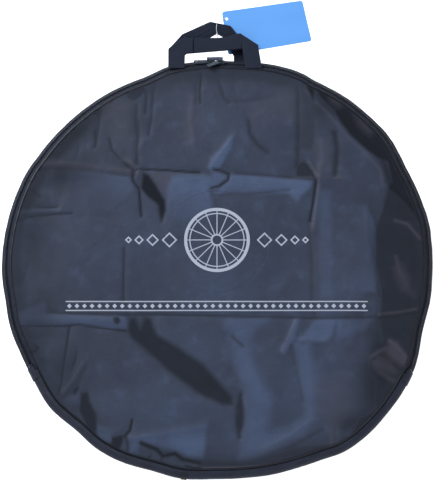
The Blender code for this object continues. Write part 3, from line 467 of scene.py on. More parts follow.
OUTLINE_DEGREES, OUTLINE_SHIFTS = outline_table()


def outline_shift(angle):
    """How far the edge departs from its circle at an angle, in metres."""
    return np.interp(np.degrees(angle), OUTLINE_DEGREES, OUTLINE_SHIFTS, period=360)


def waves(angle, seed, low, high, count=7):
    """A sum of sines round the circle, of whole counts between low and high, within -1 to 1."""
    draw = np.random.default_rng(seed)
    total = 0
    weights = draw.uniform(0.4, 1, count)
    for weight, many, start in zip(
        weights, draw.integers(low, high, count), draw.uniform(0, TURN, count)
    ):
        total = total + weight * np.sin(many * angle + start)
    return total / weights.sum()


def round_edge(radius, angle, height):
    """Points at a radius and an angle, moved out with the bag's real outline."""
    radius = radius + outline_shift(angle) * smooth(radius, *OUTLINE_FADE)
    radius, angle, height = np.broadcast_arrays(radius, angle, height)
    return np.stack((radius * np.cos(angle), radius * np.sin(angle), height), -1)


def from_photo(places, height=FRONT_TOP):
    """Where the camera's rays through places in the photograph meet a level plane."""
    places = np.asarray(places, float)
    sine, cosine = math.sin(CAMERA_TILT), math.cos(CAMERA_TILT)
    forward = np.array((0, sine, -cosine))
    up = np.array((0, cosine, sine))
    eye = CAMERA_AIM - CAMERA_DISTANCE * forward
    across = (places[:, :1] - PHOTO_WIDTH / 2) * PIXEL
    above = (PHOTO_HEIGHT / 2 - places[:, 1:2]) * PIXEL
    rays = CAMERA_DISTANCE * forward + across * np.array((1, 0, 0)) + above * up
    return (eye + rays * ((height - eye[2]) / rays[:, 2:3]))[:, :2]


def distance_to_line(x, y, line):
    """The distance from each point to a line of points."""
    best = np.full(x.shape, 1e9)
    for (ax, ay), (bx, by) in zip(line, line[1:]):
        dx, dy = bx - ax, by - ay
        t = np.clip(((x - ax) * dx + (y - ay) * dy) / (dx * dx + dy * dy), 0, 1)
        best = np.minimum(best, np.hypot(x - ax - t * dx, y - ay - t * dy))
    return best


def depth_inside(x, y, corners):
    """How deep each point lies inside a shape with those corners: less than 0 outside it."""
    closed = np.concatenate((corners, corners[:1]))
    inside = np.zeros(x.shape, bool)
    for (ax, ay), (bx, by) in zip(closed, closed[1:]):
        crosses = (ay > y) != (by > y)
        rise = by - ay if by != ay else 1e-9
        inside ^= crosses & (x < ax + (bx - ax) * (y - ay) / rise)
    return np.where(inside, 1, -1) * distance_to_line(x, y, closed)


def small_creases(x, y, count=110, seed=41):
    """Short creases in all directions, as in cloth that has been folded away: each is a cusp
    exp(-across/width) along its line, which fades out at both ends."""
    draw = np.random.default_rng(seed)
    total = np.zeros_like(x)
    for _ in range(count):
        cx, cy = draw.uniform(-0.33, 0.33, 2)
        turn = draw.uniform(0, math.pi)
        half = draw.uniform(0.018, 0.07)
        width = draw.uniform(0.004, 0.009)
        rise = draw.uniform(-0.5, 0.5) * MM
        along = (x - cx) * math.cos(turn) + (y - cy) * math.sin(turn)
        across = -(x - cx) * math.sin(turn) + (y - cy) * math.cos(turn)
        bow = across - 0.15 * half * np.cos(along / half * 1.5)
        total += rise * np.exp(-np.abs(bow) / width) * np.exp(-((along / half) ** 4))
    return total


def facet_marks(x, y, marks):
    """Adds the facets' painted shadows and highlights to the marks, and returns their height. A
    border is a straight ramp across it, which the material rounds off."""
    height = np.zeros_like(x)
    ripple = np.sin(130 * x + 2 * np.sin(90 * y)) + np.sin(110 * y + 1.3 * np.sin(80 * x))
    for tone, level, soft, rise, fade, corners in FACETS:
        inside = depth_inside(x, y, from_photo(corners)) + 0.5 * MM * ripple
        soft = BORDER_SOFTNESS * soft * MM
        share = np.clip(0.5 + inside / (2 * soft), 0, 1)
        height += 0.7 * rise * MM * smooth(inside, -8 * MM, 6 * MM)
        if fade:
            (ax, ay), (bx, by) = from_photo(fade)
            dx, dy = bx - ax, by - ay
            along = ((x - ax) * dx + (y - ay) * dy) / (dx * dx + dy * dy)
            level = level * (1 - smooth(along, 0, 1))
        if tone == "mauve":
            marks[tone] = np.maximum(marks[tone], level * share)
            continue
        near = smooth(inside, -soft - 9 * MM, -soft - 3 * MM)
        marks[tone] = np.maximum(marks[tone], share)
        marks[tone + "_level"] = np.maximum(marks[tone + "_level"], level * near)
    return height


def seam_puckers(radius, angle, tones):
    """The height of the puckers that run in from the front seam: strokes round the bag, whose
    reach and strength change on the way. Paints shade into their hollows, along the seam and in a
    line at the seam's foot."""
    reach = 0.020 + 0.014 * waves(angle, 5, 20, 60)
    pucker = smooth(radius, SEAM_RADIUS - reach, SEAM_RADIUS - 4 * MM)
    pucker = pucker * (1 - 0.7 * smooth(radius, SEAM_RADIUS - 3 * MM, SEAM_RADIUS))
    strokes = waves(angle, 11, 60, 170, 12) + 0.6 * waves(angle, 12, 150, 260, 9)
    upper_left = np.exp(-(((angle - math.radians(130)) / 0.45) ** 2))
    pucker = pucker * (0.15 + 0.85 * smooth(waves(angle, 13, 3, 12) + 0.5 * upper_left, 0.05, 0.6))
    tones(smooth(-strokes, 0.05, 0.28) * pucker, 0.85, 0, 0)
    degrees, shades = np.array(EDGE_SHADES).T
    shade = np.interp(np.degrees(angle), degrees, shades, period=360)
    tones(smooth(radius, SEAM_RADIUS - 0.045, SEAM_RADIUS - 0.012) * shade, 1, 0, 0)
    # Painted shade: a dark line where the cloth meets the seam roll.
    foot = smooth(radius, SEAM_RADIUS - 6 * MM, SEAM_RADIUS - 3 * MM)
    tones(foot * (0.5 + 0.3 * waves(angle, 14, 20, 90)), 1, 0, 0)
    return 0.9 * MM * strokes * pucker


def front_surface(x0, y0):
    """The front cloth's outer face over the circle's point (x0, y0), with the marks of its painted
    shade, reflections and highlights.

    The rim slopes down to the seam. Each fold is a cusp exp(-distance/width) along its line,
    each swell a bell, each facet a low plateau, and puckers run in from the seam.
    """
    depth = bpy.context.scene.wheel_bag_sizes.fold_depth
    radius, angle = np.hypot(x0, y0), np.arctan2(y0, x0)
    x, y, _ = np.moveaxis(round_edge(radius, angle, 0.0), -1, 0)
    # The marks paint light into the cloth's colour: dark and shadow are painted shade, blue a
    # painted reflection, shine a painted highlight and mauve a painted highlight on ridges.
    names = ("dark", "blue", "mauve", "shadow", "shadow_level", "shine", "shine_level")
    marks = {name: np.zeros_like(x) for name in names}
    height = small_creases(x, y) + facet_marks(x, y, marks)

    def tones(share, dark, blue, mauve):
        for name, level in (("dark", dark), ("blue", blue), ("mauve", mauve)):
            marks[name] = np.maximum(marks[name], level * share)

    for width, rise, dark, blue, mauve, tone_width, line in FOLDS:
        distance = distance_to_line(x, y, from_photo(line))
        height = height + rise * MM * np.exp(-distance / (width * MM))
        tone_reach = 1.25 * tone_width * MM
        tones(np.exp(-((distance / tone_reach) ** 2)), min(1.2 * dark, 1), blue, mauve)
    for px, py, wide, tall, rise, dark, blue, mauve in SWELLS:
        (cx, cy), = from_photo(((px, py),))
        bell = np.exp(-(((x - cx) / (wide * PIXEL)) ** 2) - ((y - cy) / (tall * PIXEL)) ** 2)
        height = height + rise * MM * bell
        tones(bell, dark, blue, mauve)
    height = height * depth * (1 - smooth(radius, *FOLD_FADE))
    height = height + seam_puckers(radius, angle, tones)
    base = FRONT_TOP - (FRONT_TOP - FRONT_SEAM_HEIGHT) * smooth(
        radius, SEAM_RADIUS - RIM_RUN, SEAM_RADIUS
    )
    return np.stack((x, y, base + height), -1), marks


def unit(vectors):
    """The vectors at length 1."""
    return vectors / np.maximum(np.linalg.norm(vectors, axis=-1, keepdims=True), 1e-12)


def lengths_along(points, axis):
    """How far each point of a grid lies along one of its directions, in metres."""
    steps = np.linalg.norm(np.diff(points, axis=axis), axis=-1)
    shape = list(steps.shape)
    shape[axis] = 1
    return np.concatenate((np.zeros(shape), np.cumsum(steps, axis=axis)), axis=axis)


def add_object(name, data):
    """An object with that data, in the scene."""
    made = bpy.data.objects.new(name, data)
    bpy.context.scene.collection.objects.link(made)
    return made


class Shape:
    """Collects closed surfaces, each worked out on a grid, and makes them one mesh."""

    def __init__(self):
        self.points, self.faces, self.maps, self.slots = [], [], [], []
        self.marks = {}
        self.count = 0

    def add(self, points, faces, maps, slots=0, marks=None):
        """Adds one closed part, turned so that its faces point outwards."""
        marks = marks or {}
        corners = points[faces]
        a, b, c, d = (corners[:, k] for k in range(4))
        if np.einsum("ij,ij->i", a, np.cross(b, c) + np.cross(c, d)).sum() < 0:
            faces, maps = faces[:, ::-1], maps[:, ::-1]
        self.points.append(points)
        self.faces.append(faces + self.count)
        self.maps.append(maps)
        self.slots.append(np.broadcast_to(slots, len(faces)))
        for name in {**self.marks, **marks}:
            earlier = [np.zeros(self.count)] if self.count else []
            self.marks.setdefault(name, earlier).append(marks.get(name, np.zeros(len(points))))
        self.count += len(points)
        return self

    def tube(self, points, around=False):
        """A closed outline in each row, carried along the rows: all round, or with flat ends."""
        rows, sides = points.shape[:2]
        u = lengths_along(np.concatenate((points, points[:1])) if around else points, 0).mean(1)
        across = lengths_along(np.concatenate((points, points[:, :1]), 1), 1)
        i, j = np.indices((rows - (not around), sides)).reshape(2, -1)
        corners = ((i, j), (i + 1, j), (i + 1, j + 1), (i, j + 1))
        faces = np.stack([row % rows * sides + side % sides for row, side in corners], -1)
        maps = np.stack([np.stack((u[row], across[i, side]), -1) for row, side in corners], 1)
        if not around:
            k = np.arange(sides // 2 - 1)
            end = np.stack((k, k + 1, sides - 2 - k, sides - 1 - k), -1)
            faces = np.concatenate((faces, end, (rows - 1) * sides + end[:, ::-1]))
            maps = np.concatenate((maps, np.zeros((2 * len(end), 4, 2))))
        return self.add(points.reshape(-1, 3), faces, maps)

    def sheet(self, points, maps, thickness, inner_slot=0, marks=None):
        """A grid with a wall: the outer face is the grid's, and the inner one lies that far in."""
        normal = unit(np.cross(np.gradient(points, axis=0), np.gradient(points, axis=1)))
        both = np.concatenate((points.reshape(-1, 3), (points - normal * thickness).reshape(-1, 3)))
        size = len(both) // 2
        n = np.arange(size).reshape(points.shape[:2])
        top = np.stack((n[:-1, :-1], n[1:, :-1], n[1:, 1:], n[:-1, 1:]), -1).reshape(-1, 4)
        edge = np.concatenate((n[:-1, 0], n[-1, :-1], n[:0:-1, -1], n[0, :0:-1]))
        after = np.roll(edge, -1)
        rim = np.stack((after, edge, edge + size, after + size), -1)
        faces = np.concatenate((top, top[:, ::-1] + size, rim))
        slots = np.zeros(len(faces), int)
        slots[len(top) : 2 * len(top)] = inner_slot
        flat = np.tile(maps.reshape(-1, 2), (2, 1))
        doubled = {name: np.tile(values.ravel(), 2) for name, values in (marks or {}).items()}
        return self.add(both, faces, flat[faces], slots, doubled)

    def ribbon(self, points, thickness):
        """Such a sheet whose map is metres along it, and metres across it from one edge."""
        maps = np.stack((lengths_along(points, 0), lengths_along(points, 1)), -1)
        return self.sheet(points, maps, thickness)

    def copies(self, points, faces, origins, axes):
        """One small shape repeated: its x, y and z go along the three axes at each origin."""
        placed = origins[:, None] + np.einsum("pk,nkc->npc", points, axes)
        offsets = np.arange(len(origins)) * len(points)
        all_faces = (faces[None] + offsets[:, None, None]).reshape(-1, 4)
        maps = np.tile(points[faces][None, :, :, :2], (len(origins), 1, 1, 1)).reshape(-1, 4, 2)
        return self.add(placed.reshape(-1, 3), all_faces, maps)

    def piece(self, name, *finishes, sharp=40):
        """The mesh object, with its map in metres and its marks as attributes."""
        points = np.concatenate(self.points)
        faces = np.concatenate(self.faces)
        mesh = bpy.data.meshes.new(name)
        mesh.vertices.add(len(points))
        mesh.vertices.foreach_set("co", points.astype(np.float32).ravel())
        mesh.loops.add(faces.size)
        mesh.loops.foreach_set("vertex_index", faces.ravel().astype(np.int32))
        mesh.polygons.add(len(faces))
        mesh.polygons.foreach_set("loop_start", np.arange(0, faces.size, 4, dtype=np.int32))
        mesh.polygons.foreach_set("material_index", np.concatenate(self.slots).astype(np.int32))
        mesh.polygons.foreach_set("use_smooth", np.ones(len(faces), bool))
        mesh.update(calc_edges=True)
        layer = mesh.uv_layers.new(name="cloth")
        layer.uv.foreach_set("vector", np.concatenate(self.maps).astype(np.float32).ravel())
        for mark, values in self.marks.items():
            attribute = mesh.attributes.new(mark, "FLOAT", "POINT")
            attribute.data.foreach_set("value", np.concatenate(values).astype(np.float32))
        mesh.set_sharp_from_angle(angle=math.radians(sharp))
        for finish in finishes:
            mesh.materials.append(finish)
        return add_object(name, mesh)


class Value:
    """A number in a material. Sums, differences, products and quotients add Math nodes."""

    def __init__(self, finish, socket):
        self.finish = finish
        self.socket = socket

    def math(self, operation, *others):
        """The operation on this value and the others."""
        inputs = dict(enumerate((self, *others)))
        return self.finish.number("ShaderNodeMath", {"operation": operation}, inputs)

    def __add__(self, other):
        return self.math("ADD", other)

    def __sub__(self, other):
        return self.math("SUBTRACT", other)

    def __rsub__(self, other):
        inputs = {0: other, 1: self}
        return self.finish.number("ShaderNodeMath", {"operation": "SUBTRACT"}, inputs)

    def __mul__(self, other):
        return self.math("MULTIPLY", other)

    def __truediv__(self, other):
        return self.math("DIVIDE", other)

    def __abs__(self):
        return self.math("ABSOLUTE")

    __radd__ = __add__
    __rmul__ = __mul__

    def between(self, low, high):
        """0 at low and 1 at high, smoothly and within those limits."""
        inputs = {"Value": self, "From Min": low, "From Max": high}
        return self.finish.number(
            "ShaderNodeMapRange", {"interpolation_type": "SMOOTHSTEP"}, inputs
        )

    def stripes(self, pitch):
        """Even stripes of that pitch: the sine, brought to 0 to 1."""
        return (self * (TURN / pitch)).math("SINE") * 0.5 + 0.5


class Finish:
    """One procedural material, made of nodes. The constants are set on the shader's sockets."""

    def __init__(self, name, roughness, constants=None):
        self.material = bpy.data.materials.new(name)
        self.material.use_nodes = True
        self.tree = self.material.node_tree
        self.tree.nodes.clear()
        settings = {"Roughness": roughness, **(constants or {})}
        self.shader = self.node("ShaderNodeBsdfPrincipled", {}, settings)
        self.node("ShaderNodeOutputMaterial", {}, {"Surface": self.shader.outputs[0]})

    def node(self, kind, settings=None, inputs=None):
        """A node of that type: its settings first, then the values and links of its sockets."""
        made = self.tree.nodes.new(kind)
        for name, value in (settings or {}).items():
            setattr(made, name, value)
        for name, value in (inputs or {}).items():
            if isinstance(value, Value):
                value = value.socket
            if isinstance(value, bpy.types.NodeSocket):
                self.tree.links.new(value, made.inputs[name])
            else:
                made.inputs[name].default_value = value
        return made

    def number(self, kind, settings, inputs, output=0):
        """What such a node gives, as a value."""
        return Value(self, self.node(kind, settings, inputs).outputs[output])

    def place(self):
        """The point on the object, in metres."""
        return self.node("ShaderNodeTexCoord").outputs["Object"]

    def cloth(self):
        """The piece's own map, in metres along and across it."""
        return self.node("ShaderNodeUVMap", {"uv_map": "cloth"}).outputs[0]

    def mark(self, name):
        """One of the marks painted on the piece's points."""
        return self.number("ShaderNodeAttribute", {"attribute_name": name}, {}, "Fac")

    def parts(self, vector):
        """The three parts of a vector."""
        made = self.node("ShaderNodeSeparateXYZ", {}, {0: vector})
        return [Value(self, output) for output in made.outputs]

    def stretched(self, vector, x, y, z=1.0):
        """The vector with each part multiplied."""
        inputs = {0: vector, 1: (x, y, z)}
        return self.node("ShaderNodeVectorMath", {"operation": "MULTIPLY"}, inputs).outputs[0]

    def noise(self, vector, scale, detail=2.0, roughness=0.5, distortion=0.0):
        """Cloudy noise from 0 to 1."""
        inputs = {"Vector": vector, "Scale": scale, "Detail": detail}
        inputs.update({"Roughness": roughness, "Distortion": distortion})
        return self.number("ShaderNodeTexNoise", {}, inputs)

    def cells(self, vector, scale):
        """How far each point is from the nearest border of a pattern of cells."""
        settings = {"feature": "DISTANCE_TO_EDGE"}
        return self.number("ShaderNodeTexVoronoi", settings, {"Vector": vector, "Scale": scale})

    def mixed(self, share, first, second):
        """A colour between two others."""
        inputs = {0: share, 6: first, 7: second}
        return self.node("ShaderNodeMix", {"data_type": "RGBA"}, inputs).outputs[2]

    def link(self, name, socket):
        """Gives the shader a colour or a value that changes over the surface."""
        self.tree.links.new(socket, self.shader.inputs[name])

    def done(self, tone, rough, height, distance):
        """The material, with its colour, with its roughness where that changes, and raised by a
        height from 0 to 1, times a distance in metres."""
        self.link("Base Color", tone)
        if rough:
            self.link("Roughness", rough.socket)
        bump = self.node("ShaderNodeBump", {}, {"Height": height, "Distance": distance})
        self.link("Normal", bump.outputs[0])
        return self.material


def colour(name):
    """A colour of the panel's settings, with its alpha."""
    return (*getattr(bpy.context.scene.wheel_bag_colours, name), 1.0)


def darker(shade, factor):
    """The same colour, with less light."""
    return (*(part * factor for part in shade[:3]), 1.0)


def weave(along, across, pitch):
    """Threads over and under each other: sin(along) times sin(across), from 0 to 1."""
    turns = TURN / pitch
    threads = (along * turns).math("SINE") * (across * turns).math("SINE")
    return threads * 0.5 + 0.5


def diamond(x, y, half):
    """1 inside a diamond of that half width, with a soft edge."""
    return (half - (abs(x) + abs(y))).between(-0.3 * MM, 0.3 * MM)


def printed_design(x, y):
    """A plain print: a spoked wheel between two rows of diamonds, over a long row of small ones."""
    (cx, cy), (_, row_y) = from_photo(((217, 240), (217, 306)))
    dx, dy = x - float(cx), y - float(cy)
    radius = (dx * dx + dy * dy).math("SQRT")
    edge = 0.3 * MM
    spoke = abs((dy.math("ARCTAN2", dx) * 8).math("SINE")) * radius / 8
    spokes = (0.75 * MM - spoke).between(-edge, edge) * (52 * MM - radius).between(-edge, edge)
    bands = [
        (half * MM - abs(radius - middle * MM)).between(-edge, edge) for middle, half in PRINT_RINGS
    ]
    design = bands[0].math("MAXIMUM", bands[1]).math("MAXIMUM", bands[2])
    design = design.math("MAXIMUM", spokes * (radius - 9 * MM).between(-edge, edge))
    for away, half in PRINT_DIAMONDS:
        side = abs(dx) - away * MM
        design = design.math("MAXIMUM", diamond(side, dy, half * MM))
        design = design - diamond(side, dy, (half - 3.2) * MM)
    step = (x / PRINT_ROW_PITCH).math("FRACT") - 0.5
    within = (PRINT_ROW_HALF - abs(x)).between(-edge, edge)
    off = y - float(row_y)
    row = diamond(step * PRINT_ROW_PITCH, off, 4 * MM) * within
    line = (1.0 * MM - abs(abs(off) - 7.5 * MM)).between(-edge, edge) * within
    return design.math("MAXIMUM", row).math("MAXIMUM", line * 0.9)


def hub_stitching(x, y):
    """The round line of stitches that holds the hub guard: dashes round a thin ring."""
    dy = y - HUB_CENTRE_Y
    ring = (x * x + dy * dy).math("SQRT") - (HUB_RADIUS - 2 * MM)
    line = (0.5 * MM - abs(ring)).between(-0.5 * MM, 0.5 * MM)
    count = round(HUB_RADIUS * TURN / bpy.context.scene.wheel_bag_sizes.stitch_length)
    dashes = (dy.math("ARCTAN2", x) * count).math("SINE").between(-0.6, 0.2)
    return line * (0.4 + 0.6 * dashes)


def panel_fabric(name, printed, shade=1.0):
    """Coated nylon: a fine weave, streaks along it, mottled and crumpled, with painted shade in its
    folds, painted blue reflections and painted highlights on facets and ridges. The seams' cloth
    is the same, but dull and darkened as painted shade."""
    constants = {"Sheen Weight": 0.03, "Sheen Roughness": 0.4, "Specular IOR Level": 0.34}
    finish = Finish(name, 0.42, constants)
    cloth = finish.cloth()
    x, y, _ = finish.parts(cloth)
    base, sheen = darker(colour("panel"), shade), darker(colour("panel_sheen"), shade)
    streaks = finish.noise(finish.stretched(cloth, 14, 620), 1.0, 3, 0.6)
    cloud = finish.noise(cloth, 7.0, 5, 0.6)
    wisps = finish.noise(finish.stretched(cloth, 1, 1.6), 26.0, 4, 0.62, 0.8)
    rows = (y + 0.06 * x + 2 * MM * cloud).stripes(3.5 * MM)
    mottle = finish.noise(cloth, 34.0, 3, 0.55)
    shine = finish.mark("shine").between(0.04, 0.96) * finish.mark("shine_level")
    patchy = 0.4 + 0.55 * wisps + 0.5 * finish.noise(cloth, 14.0, 3, 0.5).between(0.35, 0.65)
    shadow = finish.mark("shadow").between(0.1, 0.9) * finish.mark("shadow_level")
    shadow = shadow.math("MAXIMUM", finish.mark("dark"))
    threads = weave(x, y, 1.3 * MM)
    tone = base
    for share, over in (
        (cloud.between(0.42, 0.7) * 0.25, sheen),
        (mottle.between(0.5, 0.72) * 0.3, darker(base, 0.6)),
        ((1 - mottle).between(0.52, 0.74) * 0.3, sheen),
        # Painted light: blue reflections, highlights on facets, shade in creases and hollows, and
        # highlights on ridges.
        (finish.mark("blue") * (0.6 + 0.4 * wisps), sheen),
        (shine * patchy.math("MINIMUM", 1.0), sheen),
        (shadow * 0.98, darker(base, 0.12)),
        (finish.mark("mauve") * (0.5 + 0.5 * wisps), colour("panel_ridge_highlight")),
        (wisps.between(0.6, 0.8) * 0.1, darker(base, 0.5)),
        ((streaks - 0.5) * 0.4 + 0.05, darker(base, 0.62)),
        (rows * cloud.between(0.4, 0.6) * 0.14, darker(base, 0.55)),
        (threads * 0.12, darker(base, 0.6)),
    ):
        tone = finish.mixed(share, tone, over)
    crumple = 1 - finish.cells(cloth, 24.0).between(0.0, 0.22)
    fine = 1 - finish.cells(cloth, 70.0).between(0.0, 0.16)
    height = crumple * 0.2 + fine * 0.08 + wisps * 0.35 + threads * 0.1
    rough = 0.38 + 0.12 * cloud + 0.5 * shadow - 0.06 * shine
    if printed:
        ink = printed_design(x, y)
        worn = ink * (1 - finish.noise(cloth, 160.0, 4, 0.7).between(0.6, 0.86) * 0.35)
        seam = hub_stitching(x, y)
        tone = finish.mixed(worn * 0.92, tone, colour("print"))
        tone = finish.mixed(seam * 0.3, tone, sheen)
        rough = rough * (1 - ink * 0.25)
        height = height + ink * 0.12 - seam * 0.4
    return finish.done(tone, rough, height, 0.55 * MM)


def lining_fabric():
    """The coated inner side of the cloth: dull, with the weave showing through."""
    finish = Finish("lining", 0.75)
    cloth = finish.cloth()
    x, y, _ = finish.parts(cloth)
    threads = weave(x, y, 1.3 * MM)
    cloud = finish.noise(cloth, 14.0, 4, 0.6)
    base = colour("lining")
    tone = finish.mixed(cloud * 0.5 + threads * 0.3, darker(base, 0.7), base)
    return finish.done(tone, 0.66 + 0.2 * cloud, threads * 0.5 + cloud, 0.25 * MM)


def ribbed_fabric(name, base, rib, roughness=0.6):
    """A woven strip: fine ribs across it, with painted highlights on their tops, and fuzz along its
    length.
    """
    finish = Finish(name, roughness, {"Sheen Weight": 0.02, "Specular IOR Level": 0.25})
    cloth = finish.cloth()
    along, across, _ = finish.parts(cloth)
    ribs, lines = along.stripes(rib), across.stripes(rib * 1.3)
    fuzz = finish.noise(cloth, 900.0, 3, 0.7)
    cloud = finish.noise(finish.stretched(cloth, 1, 3), 30.0, 4, 0.6)
    light = ribs * 0.32 + lines * 0.14 + cloud.between(0.3, 0.7) * 0.5 + fuzz * 0.16
    tone = finish.mixed(light, darker(base, 0.5), darker(base, 1.5))
    height = ribs * 0.7 + lines * 0.3 + fuzz * 0.35
    return finish.done(tone, roughness - 0.1 + 0.2 * fuzz, height, 0.3 * MM)


def webbing_fabric():
    """Strong webbing: a herringbone of slanting ribs, over fine cords that run along it."""
    finish = Finish("webbing", 0.62, {"Sheen Weight": 0.02, "Specular IOR Level": 0.2})
    cloth = finish.cloth()
    along, across, _ = finish.parts(cloth)
    band = abs((across / (7 * MM)).math("FRACT") - 0.5) * 7 * MM
    slant = (along + band * 1.2).stripes(1.9 * MM)
    cords = across.stripes(1.0 * MM)
    fuzz = finish.noise(cloth, 700.0, 3, 0.7)
    cloud = finish.noise(cloth, 40.0, 4, 0.6)
    base = colour("webbing")
    light = slant * 0.34 + cords * 0.2 + fuzz * 0.2 + cloud * 0.4
    tone = finish.mixed(light, darker(base, 0.45), darker(base, 1.6))
    height = slant * 0.6 + cords * 0.4 + fuzz * 0.3
    return finish.done(tone, 0.5 + 0.25 * fuzz, height, 0.35 * MM)


def thread_finish():
    """Sewing thread, with a twist of light and dark."""
    finish = Finish("thread", 0.55)
    along, across, _ = finish.parts(finish.cloth())
    twist = (along + across).stripes(0.7 * MM)
    base = colour("thread")
    return finish.done(finish.mixed(twist, darker(base, 0.6), base), None, twist, 0.08 * MM)


def coil_finish():
    """Moulded nylon with a dull gloss, scuffed lighter in places."""
    finish = Finish("zip_coil", 0.38)
    scuffs = finish.noise(finish.place(), 260.0, 4, 0.65)
    base = colour("coil")
    tone = finish.mixed(scuffs.between(0.5, 0.75), base, darker(base, 2.4))
    return finish.done(tone, 0.3 + 0.3 * scuffs, scuffs, 0.05 * MM)


def metal_finish(name, shade, metallic=0.55):
    """Enamelled die-cast metal: a fine grain, with the paint rubbed lighter in patches."""
    finish = Finish(name, 0.36, {"Metallic": metallic})
    place = finish.place()
    grain = finish.noise(place, 2200.0, 3, 0.6)
    rubbed = finish.noise(place, 380.0, 4, 0.7).between(0.52, 0.74)
    tone = finish.mixed(rubbed * 0.7, shade, darker(shade, 2.1))
    return finish.done(tone, 0.28 + 0.14 * grain + 0.12 * rubbed, grain, 0.03 * MM)


def satin_finish():
    """Satin ribbon for a blank care label: glossy threads across, dull between them."""
    finish = Finish("label_satin", 0.4, {"Sheen Weight": 0.4})
    cloth = finish.cloth()
    threads = finish.parts(cloth)[0].stripes(0.5 * MM)
    cloud = finish.noise(cloth, 120.0, 4, 0.6)
    base = colour("label")
    tone = finish.mixed(threads * 0.3 + cloud * 0.4, darker(base, 0.75), base)
    return finish.done(tone, 0.3 + 0.2 * cloud, threads, 0.06 * MM)


def card_finish():
    """Coated card: an even colour with faint fibres and a soft gloss."""
    finish = Finish("tag_card", 0.4, {"Coat Roughness": 0.25, "Coat Weight": 0.25})
    place = finish.place()
    fibres = finish.noise(finish.stretched(place, 1, 3), 900.0, 4, 0.7)
    cloud = finish.noise(place, 18.0, 3, 0.5)
    base = colour("card")
    tone = finish.mixed(fibres * 0.25 + cloud * 0.25, base, darker(base, 0.86))
    return finish.done(tone, 0.34 + 0.12 * fibres, fibres, 0.02 * MM)


def string_finish():
    """White cotton string."""
    finish = Finish("string", 0.85)
    fuzz = finish.noise(finish.cloth(), 1500.0, 3, 0.7)
    base = colour("string")
    tone = finish.mixed(fuzz, darker(base, 0.82), base)
    return finish.done(tone, 0.75 + 0.2 * fuzz, fuzz, 0.06 * MM)


def on_slope(along, out=0.0):
    """Radius and height of the point that far down the zip's slope, and that far out of it."""
    return np.array(
        (SEAM_RADIUS + GAP + (along + out) * SLOPE, FRONT_SEAM_HEIGHT + (out - along) * SLOPE)
    )


def knee_path():
    """The back tape's outer face: down the slope, round the knee and in to the back seam."""
    start = on_slope(CHAIN_MIDDLE + 1.8 * MM)
    end = np.array((SEAM_RADIUS + 1.1 * MM, BACK_SEAM_HEIGHT))
    along = (EDGE_BULGE - KNEE_RADIUS - GAP + KNEE_RADIUS * SLOPE) / SLOPE
    centre = on_slope(along, -KNEE_RADIUS)
    to_end = end - centre
    first = math.pi / 4
    last = math.atan2(to_end[1], to_end[0]) + math.acos(KNEE_RADIUS / math.hypot(*to_end))
    angles = np.linspace(first, last, 8)
    knee = centre + KNEE_RADIUS * np.stack((np.cos(angles), np.sin(angles)), -1)
    share = np.linspace(0, 1, 6)[1:, None]
    return np.concatenate((start[None], knee, knee[-1] * (1 - share) + end * share))


def strip_path():
    """The strip's outer face: it bulges as sine to the power 0.75 between its two seams."""
    start = SEAM_RADIUS + 1.3 * MM
    top = FRONT_SEAM_HEIGHT - 1.0 * MM
    turn = np.linspace(0, math.pi, 19)
    out = np.clip(np.sin(turn), 0, 1) ** 0.75
    middle, half = (top + BACK_SEAM_HEIGHT) / 2, (top - BACK_SEAM_HEIGHT) / 2
    bulge = SEAM_RADIUS + EDGE_BULGE - start
    return np.stack((start + bulge * out, middle + half * np.cos(turn)), -1)


def offset(path, distance):
    """A path of radius and height, moved inwards along its own normals."""
    step = np.gradient(path, axis=0)
    normal = np.stack((step[:, 1], -step[:, 0]), -1)
    return path + unit(normal) * distance


def wall(path, thickness):
    """A closed outline whose outer face is the path."""
    return np.concatenate((path, offset(path, thickness)[::-1]))


def swept(profile, angles, wobble):
    """A profile of radius and height at each angle, with the bag's outline and its own wobble."""
    angle = angles[:, None]
    out, up = wobble(angle, profile[None, :, 1])
    return round_edge(profile[None, :, 0] + out, angle, profile[None, :, 1] + up)


def angles_between(start, end, step=3 * MM):
    """Even angles whose places on the edge are about a step apart."""
    count = max(2, round((end - start) * SEAM_RADIUS / step))
    return np.linspace(start, end, count + 1)


def edge_wobble(angle, height):
    """The edge's small waves, in and out, and more up and down the higher they are. They are
    still where the sliders stop."""
    out = 0.35 * MM * waves(angle, 21, 30, 90) * smooth(height, 0.001, 0.006)
    up = 0.5 * MM * waves(angle, 22, 24, 70) * smooth(height, 0.002, 0.02)
    quiet = 1
    for stop in SLIDER_PLACES:
        away = np.abs((angle - stop + math.pi) % TURN - math.pi)
        quiet = quiet * smooth(away, math.radians(3), math.radians(8))
    return out * quiet, up * quiet


def dress(piece, slot, *nodes):
    """The piece stands for the nodes, if there are any, which are hidden. The slot is not used."""
    if nodes:
        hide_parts(*nodes)
    return piece


def settle(piece, body, slot, *nodes):
    """The piece moves with the body and stands for the nodes. The slot is not used."""
    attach(piece, body)
    return dress(piece, slot, *nodes)


def settle_on_fold(piece, slot, *nodes):
    """For a piece of the front, where the panel folds open: its place is baked into its mesh, and
    it stands for the nodes. The slot is not used.
    """
    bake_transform(piece)
    return dress(piece, slot, *nodes)


def disc_grid(count, radius):
    """A square grid pressed into a disc: x = a sqrt(1 - b²/2), y = b sqrt(1 - a²/2)."""
    line = np.linspace(-1, 1, count)
    a, b = np.meshgrid(line, line, indexing="ij")
    return radius * a * np.sqrt(1 - b * b / 2), radius * b * np.sqrt(1 - a * a / 2)


def length_property(name, description, default):
    """A length setting."""
    return FloatProperty(name=name, description=description, default=default, unit="LENGTH")


def shade_property(name, description, default):
    """A colour setting."""
    return FloatVectorProperty(
        name=name, description=description, default=default, subtype="COLOR", min=0.0, max=1.0
    )


